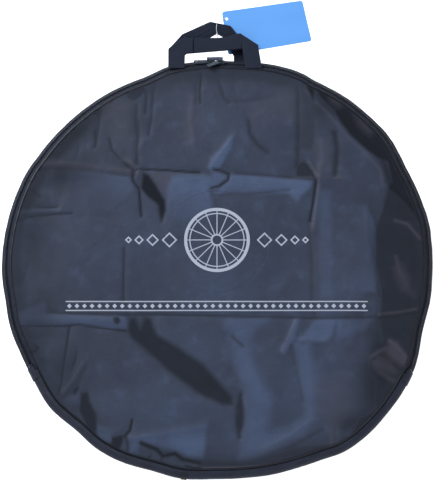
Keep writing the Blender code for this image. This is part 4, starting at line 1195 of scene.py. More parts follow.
class WheelBagSizes(bpy.types.PropertyGroup):
    """Sizes that a user would change."""

    fold_depth: FloatProperty(
        name="Fold depth",
        description="Scales the height of the cloth's folds",
        default=1.0,
        min=0.0,
        max=2.0,
    )
    cloth_thickness: length_property("Cloth thickness", "Of the front and back cloth", 0.7 * MM)
    tooth_pitch: length_property("Tooth pitch", "Between two teeth of one row", 2.1 * MM)
    stitch_length: length_property("Stitch length", "From one stitch to the next", 3.4 * MM)


class WheelBagColours(bpy.types.PropertyGroup):
    """Colours that a user would change."""

    panel: shade_property("Panel", "Coated cloth of both panels", (0.033, 0.042, 0.073))
    # Painted blue reflections and highlights take this colour; so does the cloth's random lighter
    # tone.
    panel_sheen: shade_property("Panel sheen", "The cloth's bluer parts", (0.078, 0.111, 0.202))
    # Painted highlights on the cloth's ridges take this colour.
    panel_ridge_highlight: shade_property("Panel ridges", "Rubbed ridges of the cloth", (0.090, 0.082, 0.11))
    print: shade_property("Print", "The plain print on the front", (0.50, 0.54, 0.63))
    lining: shade_property("Lining", "The cloth's coated inner side", (0.030, 0.033, 0.042))
    edge: shade_property("Edge strip", "Fabric round the lower edge", (0.019, 0.023, 0.040))
    tape: shade_property("Zip tape", "The zip's fabric", (0.012, 0.016, 0.032))
    coil: shade_property("Zip teeth", "The zip's nylon teeth", (0.019, 0.024, 0.034))
    binding: shade_property("Binding", "Bias tape over the seams", (0.018, 0.020, 0.028))
    webbing: shade_property("Webbing", "The carrying handles", (0.012, 0.016, 0.033))
    thread: shade_property("Thread", "All sewing thread", (0.020, 0.024, 0.036))
    metal: shade_property("Sliders", "Enamel of the sliders and stops", (0.028, 0.037, 0.050))
    pull: shade_property("Pull tabs", "Enamel of the pull tabs", (0.038, 0.053, 0.076))
    label: shade_property("Care label", "The satin label behind the sliders", (0.60, 0.67, 1.0))
    card: shade_property("Hang tag", "The coated card", (0.14, 0.42, 0.96))
    string: shade_property("String", "The hang tag's string", (0.96, 0.96, 0.95))
    floor: shade_property("Floor", "The stage's floor", (0.92, 0.92, 0.92))


def soft_light(name, place, size, watts, shade):
    """A square lamp that faces the bag."""
    data = bpy.data.lights.new(name, "AREA")
    data.size = size
    data.energy = watts
    data.color = shade
    lamp = add_object(name, data)
    lamp.location = place
    lamp.rotation_euler = (-Vector(place)).to_track_quat("-Z", "Y").to_euler()


class WHEELBAG_OT_stage(bpy.types.Operator):
    """Makes the pale floor, the soft lights and the camera"""

    bl_idname = "wheelbag.stage"
    bl_label = "Stage"

    def execute(self, context):
        data = bpy.data.cameras.new("camera")
        data.sensor_width = SENSOR
        data.lens = SENSOR * CAMERA_DISTANCE / (PHOTO_HEIGHT * PIXEL)
        data.clip_end = 50
        camera = add_object("camera", data)
        back = Vector((0, -math.sin(CAMERA_TILT), math.cos(CAMERA_TILT)))
        camera.location = Vector(CAMERA_AIM) + back * CAMERA_DISTANCE
        camera.rotation_euler = (CAMERA_TILT, 0, 0)
        context.scene.camera = camera

        line = np.linspace(-FLOOR_REACH, FLOOR_REACH, 9)
        x, y = np.meshgrid(line, line, indexing="ij")
        points = np.stack((x, y, np.full_like(x, -FLOOR_DROP)), -1)
        finish = Finish("floor", 0.8, {"Emission Color": (1, 1, 1, 1), "Emission Strength": 0.78})
        grain = finish.noise(finish.place(), 60.0, 3, 0.5)
        base = colour("floor")
        finish.link("Base Color", finish.mixed(grain * 0.2, base, darker(base, 0.98)))
        floor = Shape().sheet(points, points[..., :2], 20 * MM).piece("floor", finish.material)

        for lamp in LAMPS:
            soft_light(*lamp)
        world = bpy.data.worlds.new("studio")
        world.use_nodes = True
        sky = world.node_tree.nodes["Background"]
        sky.inputs["Color"].default_value = (0.93, 0.96, 1.0, 1)
        sky.inputs["Strength"].default_value = 0.22
        context.scene.world = world
        context.scene.view_settings.view_transform = "Standard"
        return {"FINISHED"}


def smooth_route(points):
    """A Catmull-Rom curve through the points, cut into short steps."""
    given = np.array(points, float)
    padded = np.concatenate(([2 * given[0] - given[1]], given, [2 * given[-1] - given[-2]]))
    parts = []
    for a, b, c, d in zip(padded, padded[1:], padded[2:], padded[3:]):
        count = max(1, round(float(np.linalg.norm(c - b)) / STRING_STEP))
        t = (np.arange(count) / count)[:, None]
        bend = 2 * b + (c - a) * t + (2 * a - 5 * b + 4 * c - d) * t * t
        parts.append((bend + (3 * b - a - 3 * c + d) * t**3) / 2)
    return np.concatenate((*parts, given[-1:]))


def rings(tangent, beside, sides):
    """A ring of unit arrows square to each tangent, from the side of a given arrow, and the
    ring's angles."""
    tangent = unit(tangent)
    first = unit(np.cross(tangent, np.array(beside)))
    second = np.cross(tangent, first)
    turn = circle(sides)
    cosine, sine = np.cos(turn)[:, None], np.sin(turn)[:, None]
    return first[:, None] * cosine + second[:, None] * sine, turn


def rope_tube(route, radius, sides=12, plies=3):
    """A twisted string: its radius goes up and down once for each ply, turning as it goes."""
    ring, turn = rings(np.gradient(route, axis=0), (0.37, 0.11, 0.92), sides)
    along = lengths_along(route, 0)
    swell = np.cos(plies / 2 * (turn - along[:, None] * TURN / STRING_TWIST))
    reach = radius * (0.86 + 0.14 * np.abs(swell))[..., None]
    return route[:, None] + reach * ring, float(along[-1])


class WHEELBAG_OT_tag_string(bpy.types.Operator):
    """Makes the hang tag's twisted string and its knot"""

    bl_idname = "wheelbag.tag_string"
    bl_label = "Tag string"

    def execute(self, context):
        finish = string_finish()
        route = smooth_route(STRING_ROUTE)
        points, length = rope_tube(route, STRING_DIAMETER / 2)
        twist = Shape().tube(points).piece("tag_string_twist", finish, sharp=80)
        string = settle(twist, "rear_carry_handle", "string", "tag_string")

        turn = circle(60)
        away = KNOT_RADIUS * np.stack((np.cos(2 * turn), np.sin(2 * turn)), -1)
        away = away * (1 + 0.3 * np.cos(3 * turn))[:, None]
        wound = np.column_stack((away, 0.8 * KNOT_RADIUS * np.sin(3 * turn))) + np.array(KNOT_PLACE)
        ring, _ = rings(np.roll(wound, -1, 0) - np.roll(wound, 1, 0), (0.2, 0.1, 0.97), 8)
        shape = Shape().tube(wound[:, None] + KNOT_ROPE * ring, around=True)
        for tail in KNOT_TAIL_LINES:
            shape.tube(rope_tube(smooth_route(tail), KNOT_TAIL, 8)[0])
        knot = shape.piece("tag_knot", finish, sharp=80)
        settle(knot, "rear_carry_handle", "string", "string_knot")
        return {"FINISHED"}


class WHEELBAG_OT_front_cloth(bpy.types.Operator):
    """Makes the front panel as one creased cloth"""

    bl_idname = "wheelbag.front_cloth"
    bl_label = "Front cloth"

    def execute(self, context):
        thickness = context.scene.wheel_bag_sizes.cloth_thickness
        points, marks = front_surface(*disc_grid(220, SEAM_RADIUS))
        shape = Shape().sheet(points, points[..., :2], thickness, 1, marks)
        fabric = panel_fabric("panel_fabric", True)
        cloth = shape.piece("front_cloth", fabric, lining_fabric(), sharp=60)
        settle_on_fold(cloth, "panel_fabric", "front_panel_upper", "front_panel_lower")
        return {"FINISHED"}


class WHEELBAG_OT_back_cloth(bpy.types.Operator):
    """Makes the back panel, slightly rumpled and flat on the floor"""

    bl_idname = "wheelbag.back_cloth"
    bl_label = "Back cloth"

    def execute(self, context):
        x0, y0 = disc_grid(150, SEAM_RADIUS)
        radius, angle = np.hypot(x0, y0), np.arctan2(y0, x0)
        x, y, _ = np.moveaxis(round_edge(radius, angle, 0.0), -1, 0)
        lift = np.abs(small_creases(-y, x)) * 1.4
        lift = lift + 0.5 * MM * (1 + waves(x * 9 + y * 4, 31, 1, 4))
        rim = smooth(radius, SEAM_RADIUS - 22 * MM, SEAM_RADIUS)
        pucker = 0.6 * MM * (1 + waves(angle, 33, 60, 150, 12)) * rim
        height = np.clip(lift * (1 - rim) + pucker, 0, 1.3 * MM) * (
            1 - smooth(radius, SEAM_RADIUS - 12 * MM, SEAM_RADIUS - 8 * MM)
        )
        near_guard = np.hypot(x, y - HUB_CENTRE_Y) < HUB_RADIUS + 4 * MM
        height = np.where(near_guard, np.minimum(height, 0.45 * MM), height)
        points = np.stack((x, y, height), -1)[:, ::-1]
        thickness = context.scene.wheel_bag_sizes.cloth_thickness
        shape = Shape().sheet(points, points[..., :2], thickness, 1, {"dark": rim[:, ::-1] * 0.2})
        fabric = panel_fabric("back_fabric", False, 0.55)
        cloth = shape.piece("back_cloth", fabric, lining_fabric(), sharp=60)
        settle(cloth, "bag", "panel_fabric", "back_panel")
        return {"FINISHED"}


def stitch_angles(radius):
    """The angle of each stitch on a circle."""
    return circle(round(TURN * radius / bpy.context.scene.wheel_bag_sizes.stitch_length))


class WHEELBAG_OT_hub_guards(bpy.types.Operator):
    """Makes the round guards sewn inside both panels, and their stitching"""

    bl_idname = "wheelbag.hub_guards"
    bl_label = "Hub guards"

    def execute(self, context):
        thread = thread_finish()
        guard_cloth = ribbed_fabric("guard_fabric", colour("lining"), 1.6 * MM, 0.75)
        x, y = disc_grid(70, HUB_RADIUS)
        inside, _ = front_surface(x, y + HUB_CENTRE_Y)
        inside[..., 2] -= context.scene.wheel_bag_sizes.cloth_thickness + 0.25 * MM
        lift = 0.25 * MM * (1 + waves(np.arctan2(y, x), 51, 2, 9))
        lift = lift * smooth(np.hypot(x, y), 0.02, HUB_RADIUS)
        resting = np.stack((x, y + HUB_CENTRE_Y, 2.4 * MM + lift), -1)

        radius = HUB_RADIUS - 2 * MM
        angles = stitch_angles(radius)
        route = np.stack((radius * np.cos(angles), radius * np.sin(angles) + HUB_CENTRE_Y), -1)
        above, _ = front_surface(route[:, 0], route[:, 1])
        below = np.column_stack((route, np.full(len(route), 0.02 * MM)))
        for side, body, points, seam, out in (
            ("front", "opening_panel", inside, above, (0, 0, 1)),
            ("back", "bag", resting, below, (0, 0, -1)),
        ):
            guard = Shape().sheet(points, points[..., :2], 0.8 * MM)
            guard = guard.piece(side + "_guard_cloth", guard_cloth)
            settle(guard, body, "panel_lining", side + "_hub_guard")
            row = stitches(Shape(), seam, out).piece(side + "_guard_stitches", thread)
            settle(row, body, "panel_lining")
        return {"FINISHED"}


def rounded_bar(width, thickness):
    """A flattened round outline: cosine to the power 0.45 across it and sine to the power 0.7 up
    it, so that its corners are full."""
    cosine, sine = np.cos(circle(16)), np.sin(circle(16))
    across = width / 2 * np.sign(cosine) * np.abs(cosine) ** 0.45
    return np.stack((across, thickness / 2 * np.sign(sine) * np.abs(sine) ** 0.7), -1)


def turned(profile, slope):
    """The outline turned by a slope, in radius and height."""
    cosine, sine = math.cos(slope), math.sin(slope)
    return profile @ np.array(((cosine, sine), (-sine, cosine)))


def bar_faces(sides):
    """The side faces of a bar of 4 rings, which are numbered ring by ring."""
    ring, side = np.divmod(np.arange(3 * sides), sides)
    low, beside = ring * sides + side, ring * sides + (side + 1) % sides
    return np.stack((low, low + sides, beside + sides, beside), -1)


def stitches(shape, places, out, closed=True):
    """Stitches along a line of places: each is a low round bar, pinched at both ends."""
    length = bpy.context.scene.wheel_bag_sizes.stitch_length * 0.72
    stations = np.array((-0.5, -0.3, 0.3, 0.5)) * length
    reach = np.array((0.45, 1.0, 1.0, 0.45))[:, None] * 0.26 * MM
    turn = circle(4) + math.pi / 4
    sideways, up = (reach * np.cos(turn)).ravel() * 1.1, (reach * np.sin(turn)).ravel()
    points = np.stack((np.repeat(stations, 4), sideways, up), -1)
    faces = np.concatenate((bar_faces(4), ((3, 2, 1, 0), (12, 13, 14, 15))))
    if closed:
        along = np.roll(places, -1, 0) - np.roll(places, 1, 0)
    else:
        along = np.gradient(places, axis=0)
    along = unit(along)
    outward = np.broadcast_to(np.array(out, float), places.shape)
    across = unit(np.cross(outward, along))
    axes = np.stack((along, across, np.cross(along, across)), 1)
    return shape.copies(points, faces, places, axes)


def seam_tube(angles, middle, outline, swell, lift=0):
    """An outline carried all round the bag about a middle, swelling as it goes."""
    profile = np.array(middle) + outline[None] * swell[:, None, None]
    points = round_edge(profile[..., 0], angles[:, None], profile[..., 1] + lift)
    return Shape().tube(points, around=True)


class WHEELBAG_OT_seams(bpy.types.Operator):
    """Makes the rolled seams, their bindings inside and their stitching"""

    bl_idname = "wheelbag.seams"
    bl_label = "Seams"

    def execute(self, context):
        # The seam rolls' cloth is darkened to a fifth: painted shade for the shadow in the seam's
        # groove.
        fabric = panel_fabric("seam_fabric_painted_shade", False, 0.2)
        binding = ribbed_fabric("binding", colour("binding"), 1.2 * MM)
        angles = circle(round(TURN * SEAM_RADIUS / (3 * MM)))
        grow = 1 + 0.22 * waves(angles, 61, 90, 260, 12)
        tilt = 0.35 * MM * waves(angles, 62, 60, 200, 10)
        ripple = 1 + 0.16 * waves(angles, 63, 60, 160, 10)
        flat = rounded_bar(10 * MM, 1.6 * MM)

        middle = (SEAM_RADIUS - 1.1 * MM, FRONT_SEAM_HEIGHT + 0.1 * MM)
        outline = turned(rounded_bar(3.0 * MM, 1.7 * MM), -0.35)
        roll = seam_tube(angles, middle, outline, grow, tilt[:, None])
        settle_on_fold(roll.piece("front_seam_roll", fabric), "panel_fabric")
        middle = (SEAM_RADIUS + 0.6 * MM, 1.9 * MM)
        roll = seam_tube(angles, middle, rounded_bar(2.2 * MM, 2.6 * MM), grow**0.5)
        settle(roll.piece("back_seam_roll", fabric), "bag", "panel_fabric")

        middle = (SEAM_RADIUS - 5.6 * MM, 19.7 * MM)
        tape = seam_tube(angles, middle, turned(flat, -0.067), ripple)
        ends = ("front_seam_binding_upper", "front_seam_binding_lower")
        settle_on_fold(tape.piece("front_binding_tape", binding), "binding", *ends)
        middle = (SEAM_RADIUS - 5.4 * MM, 2.4 * MM)
        tape = seam_tube(angles, middle, flat, ripple**0.5)
        tape = tape.piece("back_binding_tape", binding)
        settle(tape, "bag", "binding", "back_seam_binding")

        radius = SEAM_RADIUS - 4.6 * MM
        turn = stitch_angles(radius)
        points, _ = front_surface(radius * np.cos(turn), radius * np.sin(turn))
        row = stitches(Shape(), points + np.array((0, 0, 0.1 * MM)), (0, 0, 1))
        settle_on_fold(row.piece("front_seam_stitches", thread_finish()), "panel_fabric")
        return {"FINISHED"}


class WHEELBAG_OT_zip_tapes(bpy.types.Operator):
    """Makes both tapes of the zip"""

    bl_idname = "wheelbag.zip_tapes"
    bl_label = "Zip tapes"

    def execute(self, context):
        fabric = ribbed_fabric("zip_tape", colour("tape"), 1.0 * MM, 0.7)
        angles = angles_between(ZIP_END, OTHER_END)
        path = np.array([on_slope(s * MM, 0) for s in np.linspace(0.6, 8.2, 7)])
        tape = Shape().tube(swept(wall(path, 0.7 * MM), angles, edge_wobble))
        nodes = ("front_zip_tape", "front_zip_tape_end_right", "front_zip_tape_end_left")
        settle_on_fold(tape.piece("front_tape_cloth", fabric), "zip_tape", *nodes)
        tape = Shape().tube(swept(wall(knee_path(), 0.8 * MM), angles, edge_wobble))
        settle(tape.piece("back_tape_cloth", fabric), "bag", "zip_tape", "back_zip_tape")
        return {"FINISHED"}


def tooth_shape():
    """One loop of the coil, lying across the tape: a bar whose head swells, as 4 rings of 6."""
    stations = np.array((-3.5, -2.6, -0.3, 0.45)) * MM
    wide = np.array((0.38, 0.46, 0.50, 0.46))[:, None] * MM
    tall = np.array((0.75, 1.75, 2.0, 1.5))[:, None] * MM
    lean = np.array((-0.25, -0.18, 0.12, 0.2))[:, None] * MM
    turn = circle(6) + math.pi / 6
    sideways, up = (lean + wide * np.cos(turn)).ravel(), (tall * (0.5 + 0.5 * np.sin(turn))).ravel()
    points = np.stack((sideways, np.repeat(stations, 6), up), -1)
    ends = ((3, 2, 1, 0), (5, 4, 3, 0), (18, 19, 20, 21), (18, 21, 22, 23))
    return points, np.concatenate((bar_faces(6)[:, (0, 3, 2, 1)], ends))


def chain_axes(angles, along, out):
    """Places on the chain, with its axes: along it, up its slope to the front seam, and out."""
    radius, height = on_slope(along, out)

    def places(turn):
        off, up = edge_wobble(turn, height)
        return round_edge(radius + off, turn, height + up)

    tangent = unit(places(angles + 1e-4) - places(angles - 1e-4))
    inward = np.stack(
        (-SLOPE * np.cos(angles), -SLOPE * np.sin(angles), np.full_like(angles, SLOPE)), -1
    )
    outward = unit(np.cross(tangent, inward))
    return places(angles), tangent, np.cross(outward, tangent), outward


class WHEELBAG_OT_zip_teeth(bpy.types.Operator):
    """Makes the two rows of the zip's coil, and the stops at its ends"""

    bl_idname = "wheelbag.zip_teeth"
    bl_label = "Zip teeth"

    def execute(self, context):
        coil = coil_finish()
        pitch = context.scene.wheel_bag_sizes.tooth_pitch / PITCH_RADIUS
        count = int((OTHER_END - ZIP_END - 2 * COIL_OFF_ENDS) / pitch)
        middle = math.pi / 2
        base, faces = tooth_shape()

        angles = middle + (np.arange(count) - count / 2 + 0.25) * pitch
        origins, along, inward, out = chain_axes(angles, CHAIN_MIDDLE, 0.02 * MM)
        apart = 1 - smooth(np.abs(angles - PARTING_PLACE), *PARTING_REACH)
        origins = origins + inward * (PARTING * apart)[:, None]
        axes = np.stack((along, -inward, out), 1)
        row = Shape().copies(base, faces[:, ::-1], origins, axes)
        nodes = ("front_zip_teeth", "front_zip_teeth_end_right", "front_zip_teeth_end_left")
        settle_on_fold(row.piece("front_coil", coil, sharp=60), "zip_coil", *nodes)

        angles = middle + (np.arange(count) - count / 2 + 0.75) * pitch
        origins, *axes = chain_axes(angles, CHAIN_MIDDLE, 0.02 * MM)
        row = Shape().copies(base, faces, origins, np.stack(axes, 1))
        settle(row.piece("back_coil", coil, sharp=60), "bag", "zip_coil", "back_zip_teeth")

        metal = metal_finish("stop_metal", colour("metal"))
        half = CHAIN_WIDTH / 2 + 0.4 * MM
        outline = [on_slope(CHAIN_MIDDLE + half * share, out) for share, out in STOP_OUTLINE]
        swell = np.array(STOP_SWELL)[:, None, None]
        for side, low in (("right", STOP_START - STOP_SPAN), ("left", math.pi - STOP_START)):
            turn = np.linspace(low, low + STOP_SPAN, len(STOP_SWELL))
            points = swept(np.array(outline), turn, edge_wobble)
            centre = points.mean((0, 1))
            stop = Shape().tube(centre + (points - centre) * swell)
            stop = stop.piece("stop_" + side, metal, sharp=30)
            settle(stop, "bag", "stop_metal", "zip_stop_" + side)
        return {"FINISHED"}


def strip_wobble(angle, height):
    """The strip's slack: it bulges more in some places, with small ripples along both seams."""
    middle = (FRONT_SEAM_HEIGHT + BACK_SEAM_HEIGHT) / 2
    bulge = np.exp(-(((height - middle) / (6 * MM)) ** 2))
    out = 0.9 * MM * waves(angle, 71, 10, 40) * bulge
    out = out + 0.35 * MM * waves(angle, 72, 80, 200, 10) * (1 - 0.6 * bulge)
    _, up = edge_wobble(angle, height)
    return out, up


class WHEELBAG_OT_edge_strip(bpy.types.Operator):
    """Makes the strip round the lower edge, its join and the tabs over the zip's ends"""

    bl_idname = "wheelbag.edge_strip"
    bl_label = "Edge strip"

    def execute(self, context):
        fabric = ribbed_fabric("edge_fabric", colour("edge"), 1.5 * MM)
        binding = ribbed_fabric("join_tape", colour("binding"), 1.2 * MM)
        join = -math.pi / 2 + math.asin(STRIP_JOIN_X / SEAM_RADIUS)
        gap = GAP / SEAM_RADIUS
        profile = wall(strip_path(), 1.0 * MM)
        for side, start, end in (
            ("right", join + gap / 2, ZIP_END - gap),
            ("left", -math.pi - ZIP_END + gap, join - gap / 2),
        ):
            strip = Shape().tube(swept(profile, angles_between(start, end, 2.5 * MM), strip_wobble))
            strip = strip.piece("edge_strip_cloth_" + side, fabric)
            settle(strip, "bag", "edge_fabric", "edge_strip_" + side)
        cover = offset(strip_path(), -GAP - 1.0 * MM)[1:-1]
        for side, start in (
            ("right", ZIP_END - END_TAB_BELOW),
            ("left", -math.pi - ZIP_END - END_TAB_OVER),
        ):
            turn = np.linspace(start, start + END_TAB_BELOW + END_TAB_OVER, 17)
            tab = Shape().tube(swept(wall(cover, 1.0 * MM), turn, strip_wobble))
            tab = tab.piece("end_tab_cloth_" + side, fabric)
            settle(tab, "bag", "edge_fabric", "zip_end_tab_" + side)
        turn = np.linspace(join - JOIN_SPAN / 2, join + JOIN_SPAN / 2, 9)
        tape = Shape().tube(swept(wall(cover, 0.9 * MM), turn, strip_wobble))
        settle(tape.piece("join_tape_cloth", binding), "bag", "binding", "edge_join_tape")
        return {"FINISHED"}


def tipped(points, slope, foot_y, foot_z):
    """Points of a flat layout turned about the line of its feet, and set down there."""
    x, y, z = np.moveaxis(points, -1, 0)
    cosine, sine = math.cos(slope), math.sin(slope)
    return np.stack((x, foot_y + cosine * y - sine * z, foot_z + sine * y + cosine * z), -1)


def leg_points(foot_out, foot_in, top_out, top_in):
    """A leg of webbing that ends in a fold along a slanting line: straight from its foot, then
    round a half circle whose height is two thicknesses. The outer edge is v = 0."""
    v = np.linspace(0, 1, 11)[None, :, None]
    foot = np.array(foot_out) * (1 - v) + np.array(foot_in) * v
    top = np.array(top_out) * (1 - v) + np.array(top_in) * v
    slant = np.array(top_in) - np.array(top_out)
    past = np.array((-slant[1], slant[0])) / math.hypot(*slant)
    past = past if past[1] > 0 else -past
    roll = WEBBING_THICKNESS * 0.97
    top = top - roll * past
    u = np.linspace(0, 1, 26)[:, None, None]
    straight = foot * (1 - u) + top * u
    rise = -0.3 * MM * (2 * v - 1) ** 4 + 0.5 * MM * np.sin(math.pi * u) * (1 - u)
    straight = np.concatenate((straight, rise * (1 - u**8)), -1)
    turn = np.linspace(0, math.pi, 10)[1:, None, None]
    level = top + roll * np.sin(turn) * past
    rolled = np.concatenate((level, roll * (np.cos(turn) - 1) + 0 * v), -1)
    return np.concatenate((straight, rolled))


def grip_edge(x, v):
    """The grip's height over its feet: its lower edge is straight, and its upper one level as far
    as its middle and then rising. v goes from the lower edge to the upper one."""
    lower = 0.0321 + 0.092 * x
    upper = 0.0569 + 0.0085 * smooth(x, 0.0, 0.042)
    return lower * (1 - v) + upper * v


class WHEELBAG_OT_front_handle(bpy.types.Operator):
    """Makes the front carrying handle: two folded legs and a doubled grip"""

    bl_idname = "wheelbag.front_handle"
    bl_label = "Front handle"

    def execute(self, context):
        legs = [leg_points(*corners) for corners in FRONT_LEGS]
        shape = Shape()
        for leg, order in zip(legs, (-1, 1)):
            shape.ribbon(tipped(leg, *FRONT_FEET)[:, ::order], WEBBING_WALL)
        v = np.linspace(0, 1, 11)[None, :]
        u = np.linspace(0, 1, 50)[:, None]
        y_left, y_right = 0.0246 + 0.0310 * v, 0.0392 + 0.0258 * v
        x_left = -0.0795 + 0.024 * np.clip((y_left - 0.0350) / 0.0213, 0, 1)
        x_right = 0.0690 - 0.029 * np.clip((y_right - 0.0430) / 0.0220, 0, 1)
        x = x_left * (1 - u) + x_right * u
        z = -WEBBING_THICKNESS - 0.06 * MM - 0.25 * MM * (2 * v - 1) ** 4 + 0 * x
        shape.ribbon(tipped(np.stack((x, grip_edge(x, v), z), -1), *FRONT_FEET), WEBBING_WALL)
        u = np.linspace(0, 1, 34)[:, None]
        ends = smooth(u, 0, 0.03) * (1 - smooth(u, 0.97, 1))
        for start, end, level in (
            (-0.0384, 0.0405 + 0.0015 * (1 - v), -0.4 * MM),
            (-0.0560, -0.0397, -0.12 * MM),
        ):
            x = start * (1 - u) + end * u + 0 * v
            z = 0.35 * MM * ends * (1 - (2 * v - 1) ** 4) + level + 0 * x
            cover = np.stack((x, grip_edge(x, 0.02 + 0.96 * v), z), -1)
            shape.ribbon(tipped(cover, *FRONT_FEET), WEBBING_THICKNESS * 0.8)
        webbing = shape.piece("front_handle_webbing", webbing_fabric())
        settle(webbing, "front_carry_handle", "webbing", "front_handle")

        rows = []
        row = np.linspace(0.12, 0.88, 8)[:, None]
        for leg in legs:
            for height in LEG_STITCH_HEIGHTS:
                places = leg[0, 0] * (1 - row) + leg[0, -1] * row
                places[:, 1:] = height, 0.12 * MM
                rows.append(places)
        for x in GRIP_STITCH_PLACES:
            y = grip_edge(x, np.linspace(0.1, 0.9, 8))
            rows.append(np.column_stack((np.full(8, x), y, np.full(8, 0.38 * MM))))
        up = (0, -math.sin(FRONT_FEET[0]), math.cos(FRONT_FEET[0]))
        shape = Shape()
        for places in rows:
            stitches(shape, tipped(places, *FRONT_FEET), up, closed=False)
        seams = shape.piece("front_handle_stitches", thread_finish())
        settle(seams, "front_carry_handle", "webbing")
        return {"FINISHED"}


def between_points(u, given, points):
    """Places at u on the line that runs straight between points given at certain u."""
    return np.stack([np.interp(u, given, points[:, part]) for part in (0, 1)], -1)


def mitred_sides(line, width):
    """The two edges of a band of even width along a line of points, mitred at its bends."""
    steps = unit(np.diff(line, axis=0))
    before = np.concatenate((steps[:1], steps))
    after = np.concatenate((steps, steps[-1:]))
    normal = unit(np.stack((-before[:, 1] - after[:, 1], before[:, 0] + after[:, 0]), -1))
    square = np.stack((-before[:, 1], before[:, 0]), -1)
    reach = width / 2 / (normal * square).sum(1, keepdims=True)
    return line + normal * reach, line - normal * reach


class WHEELBAG_OT_rear_handle(bpy.types.Operator):
    """Makes the rear carrying handle: one length of webbing with creased bends"""

    bl_idname = "wheelbag.rear_handle"
    bl_label = "Rear handle"

    def execute(self, context):
        line = np.array(REAR_START) + np.array(REAR_BENDS) * np.array(REAR_SPAN)
        left, right = mitred_sides(line, WEBBING_WIDTH)
        right[3:5] = REAR_INNER_CORNERS
        u = np.linspace(0, len(line) - 1, 85)
        outer, inner = (between_points(u, np.arange(len(line)), side) for side in (left, right))
        v = np.linspace(0, 1, 13)[None, :, None]
        flat = outer[:, None] * (1 - v) + inner[:, None] * v
        creased = np.exp(-(((u - np.round(u)) / 0.16) ** 2)) * (np.round(u) % 6 != 0)
        height = WEBBING_THICKNESS + 0.9 * MM * creased[:, None, None] * v**2
        height = height - 0.3 * MM * (2 * v - 1) ** 4 + 0.25 * MM * np.sin(u * 2.1)[:, None, None]
        band = np.concatenate((flat, np.maximum(height, 1.0 * MM) + 0 * flat[..., :1]), -1)
        shape = Shape().ribbon(tipped(band, *REAR_FEET)[:, ::-1], WEBBING_WALL)
        webbing = shape.piece("rear_handle_webbing", webbing_fabric())
        settle(webbing, "rear_carry_handle", "webbing", "rear_handle")
        return {"FINISHED"}


def card_points():
    """The card: rings from its punched hole out to its rounded border, on both faces. Its far end
    is cut a little aslant and curls up."""
    corner = CARD_ROUNDING * np.array(((1, -1), (-1, -1), (-1, 1), (1, 1)))
    centres = np.array(((0, 0), (CARD_LENGTH, 0), (CARD_LENGTH, -CARD_WIDTH), (0, -CARD_WIDTH)))
    border = []
    for centre, start in zip(centres + corner, (math.pi, math.pi / 2, 0, -math.pi / 2)):
        turn = start - np.linspace(0, math.pi / 2, 7)
        border.append(centre + CARD_ROUNDING * np.stack((np.cos(turn), np.sin(turn)), -1))
    border = np.concatenate((*border, border[0][:1]))
    along = np.concatenate(([0], np.cumsum(np.hypot(*np.diff(border, axis=0).T))))
    even = np.linspace(0, along[-1], 241)[:-1]
    border = between_points(even, along, border)
    hole = np.array(CARD_HOLE)
    rim = hole + CARD_HOLE_RADIUS * unit(border - hole)
    share = np.linspace(0, 1, 14)[None, :, None]
    flat = rim[:, None] * (1 - share) + border[:, None] * share
    far = flat[..., 0] / CARD_LENGTH
    down = -flat[..., 1] / CARD_WIDTH
    x = flat[..., 0] + far * (CARD_SKEW_TOP + (CARD_SKEW_BOTTOM - CARD_SKEW_TOP) * down)
    y = flat[..., 1] + far * down * CARD_SKEW_UP
    low = CARD_BOTTOM + 1.2 * MM * smooth(far, 0.35, 1) + 0.3 * MM * np.sin(9 * down) * far**2
    cosine, sine = math.cos(CARD_TURN), math.sin(CARD_TURN)
    level = np.stack((x * cosine - y * sine, x * sine + y * cosine), -1) + np.array(CARD_CORNER)
    under = np.concatenate((level, low[..., None]), -1)
    over = under + np.array((0, 0, CARD_THICKNESS))
    return np.concatenate((over, under[:, ::-1]), 1)


class WHEELBAG_OT_labels(bpy.types.Operator):
    """Makes the blank care label and finishes the plain hang tag"""

    bl_idname = "wheelbag.labels"
    bl_label = "Care label and hang tag"

    def execute(self, context):
        x = np.linspace(*LABEL_ENDS, 30)[:, None]
        up = np.linspace(0, LABEL_HEIGHT, 10)[None, :]
        share = up / LABEL_HEIGHT
        bow = 0.4 * MM * np.sin((x + 0.02) * 210) * share + 0.5 * MM * share**2
        flat = np.stack((x + 0 * up, up + 0 * x, bow - 0.3 * MM), -1)
        label = Shape().ribbon(tipped(flat, *LABEL_FOOT), 0.35 * MM)
        label = label.piece("care_label_satin", satin_finish())
        settle(label, "bag", "label_satin", "care_label")
        card = Shape().tube(card_points(), around=True)
        card = card.piece("hang_tag_card", card_finish(), sharp=50)
        settle(card, "tag", "tag_card", "hang_tag")
        return {"FINISHED"}


def finer_copy(node, name, finish, bevel):
    """A merged copy of a CAD node, with its edges rounded."""
    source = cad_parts[node]
    mesh = source.data.copy()
    mesh.name = name
    mesh.materials.clear()
    mesh.materials.append(finish)
    shape = bmesh.new()
    shape.from_mesh(mesh)
    bmesh.ops.remove_doubles(shape, verts=shape.verts, dist=1e-6)
    level = math.radians(3)
    bmesh.ops.dissolve_limit(shape, angle_limit=level, verts=shape.verts, edges=shape.edges)
    bmesh.ops.recalc_face_normals(shape, faces=shape.faces)
    shape.to_mesh(mesh)
    shape.free()
    made = add_object(name, mesh)
    made.matrix_world = source.matrix_world
    rounding = made.modifiers.new("rounding", "BEVEL")
    rounding.width = bevel
    rounding.segments = 2
    rounding.limit_method = "ANGLE"
    rounding.angle_limit = math.radians(30)
    rounding.harden_normals = True
    mesh.polygons.foreach_set("use_smooth", np.ones(len(mesh.polygons), bool))
    mesh.set_sharp_from_angle(angle=math.radians(35))
    return made


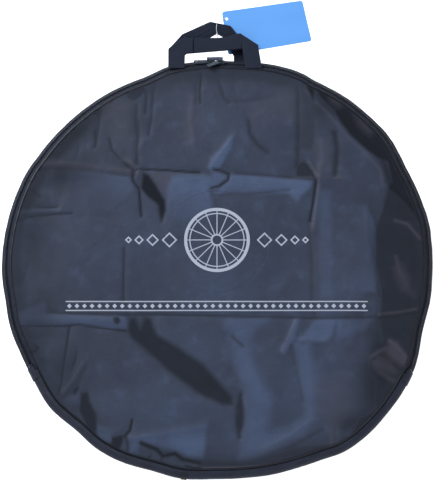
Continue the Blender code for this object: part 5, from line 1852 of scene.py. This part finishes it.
class WHEELBAG_OT_sliders(bpy.types.Operator):
    """Makes the two zip sliders and their pull tabs, with rounded edges"""

    bl_idname = "wheelbag.sliders"
    bl_label = "Sliders and pull tabs"

    def execute(self, context):
        body = metal_finish("slider_metal", colour("metal"))
        pull = metal_finish("pull_metal", colour("pull"), 0.35)
        for side in ("right", "left"):
            made = finer_copy("slider_" + side, "slider_cast_" + side, body, 0.22 * MM)
            settle(made, side + "_slider", "slider_metal", "slider_" + side)
            made = finer_copy("pull_tab_" + side, "pull_cast_" + side, pull, 0.25 * MM)
            settle(made, side + "_pull_tab", "pull_metal", "pull_tab_" + side)
        return {"FINISHED"}


def main():
    """Registers the add-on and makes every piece."""
    register()
    for step in STEPS:
        group, name = step.bl_idname.split(".")
        getattr(getattr(bpy.ops, group), name)()


STEPS = (
    WHEELBAG_OT_stage,
    WHEELBAG_OT_tag_string,
    WHEELBAG_OT_front_cloth,
    WHEELBAG_OT_back_cloth,
    WHEELBAG_OT_hub_guards,
    WHEELBAG_OT_seams,
    WHEELBAG_OT_zip_tapes,
    WHEELBAG_OT_zip_teeth,
    WHEELBAG_OT_edge_strip,
    WHEELBAG_OT_front_handle,
    WHEELBAG_OT_rear_handle,
    WHEELBAG_OT_labels,
    WHEELBAG_OT_sliders,
)


class WHEELBAG_PT_sidebar(bpy.types.Panel):
    """The sizes, the colours and the pieces"""

    bl_idname = "WHEELBAG_PT_sidebar"
    bl_label = "Wheel bag"
    bl_space_type = "VIEW_3D"
    bl_region_type = "UI"
    bl_category = "Wheel bag"

    def draw(self, context):
        for group in (context.scene.wheel_bag_sizes, context.scene.wheel_bag_colours):
            column = self.layout.column()
            for name in group.__annotations__:
                column.prop(group, name)
        column = self.layout.column()
        for step in STEPS:
            column.operator(step.bl_idname)


CLASSES = (WheelBagSizes, WheelBagColours, *STEPS, WHEELBAG_PT_sidebar)


def register():
    for made in CLASSES:
        bpy.utils.register_class(made)
    bpy.types.Scene.wheel_bag_sizes = PointerProperty(type=WheelBagSizes)
    bpy.types.Scene.wheel_bag_colours = PointerProperty(type=WheelBagColours)


def unregister():
    del bpy.types.Scene.wheel_bag_colours
    del bpy.types.Scene.wheel_bag_sizes
    for made in reversed(CLASSES):
        bpy.utils.unregister_class(made)


if __name__ == "__main__":
    main()
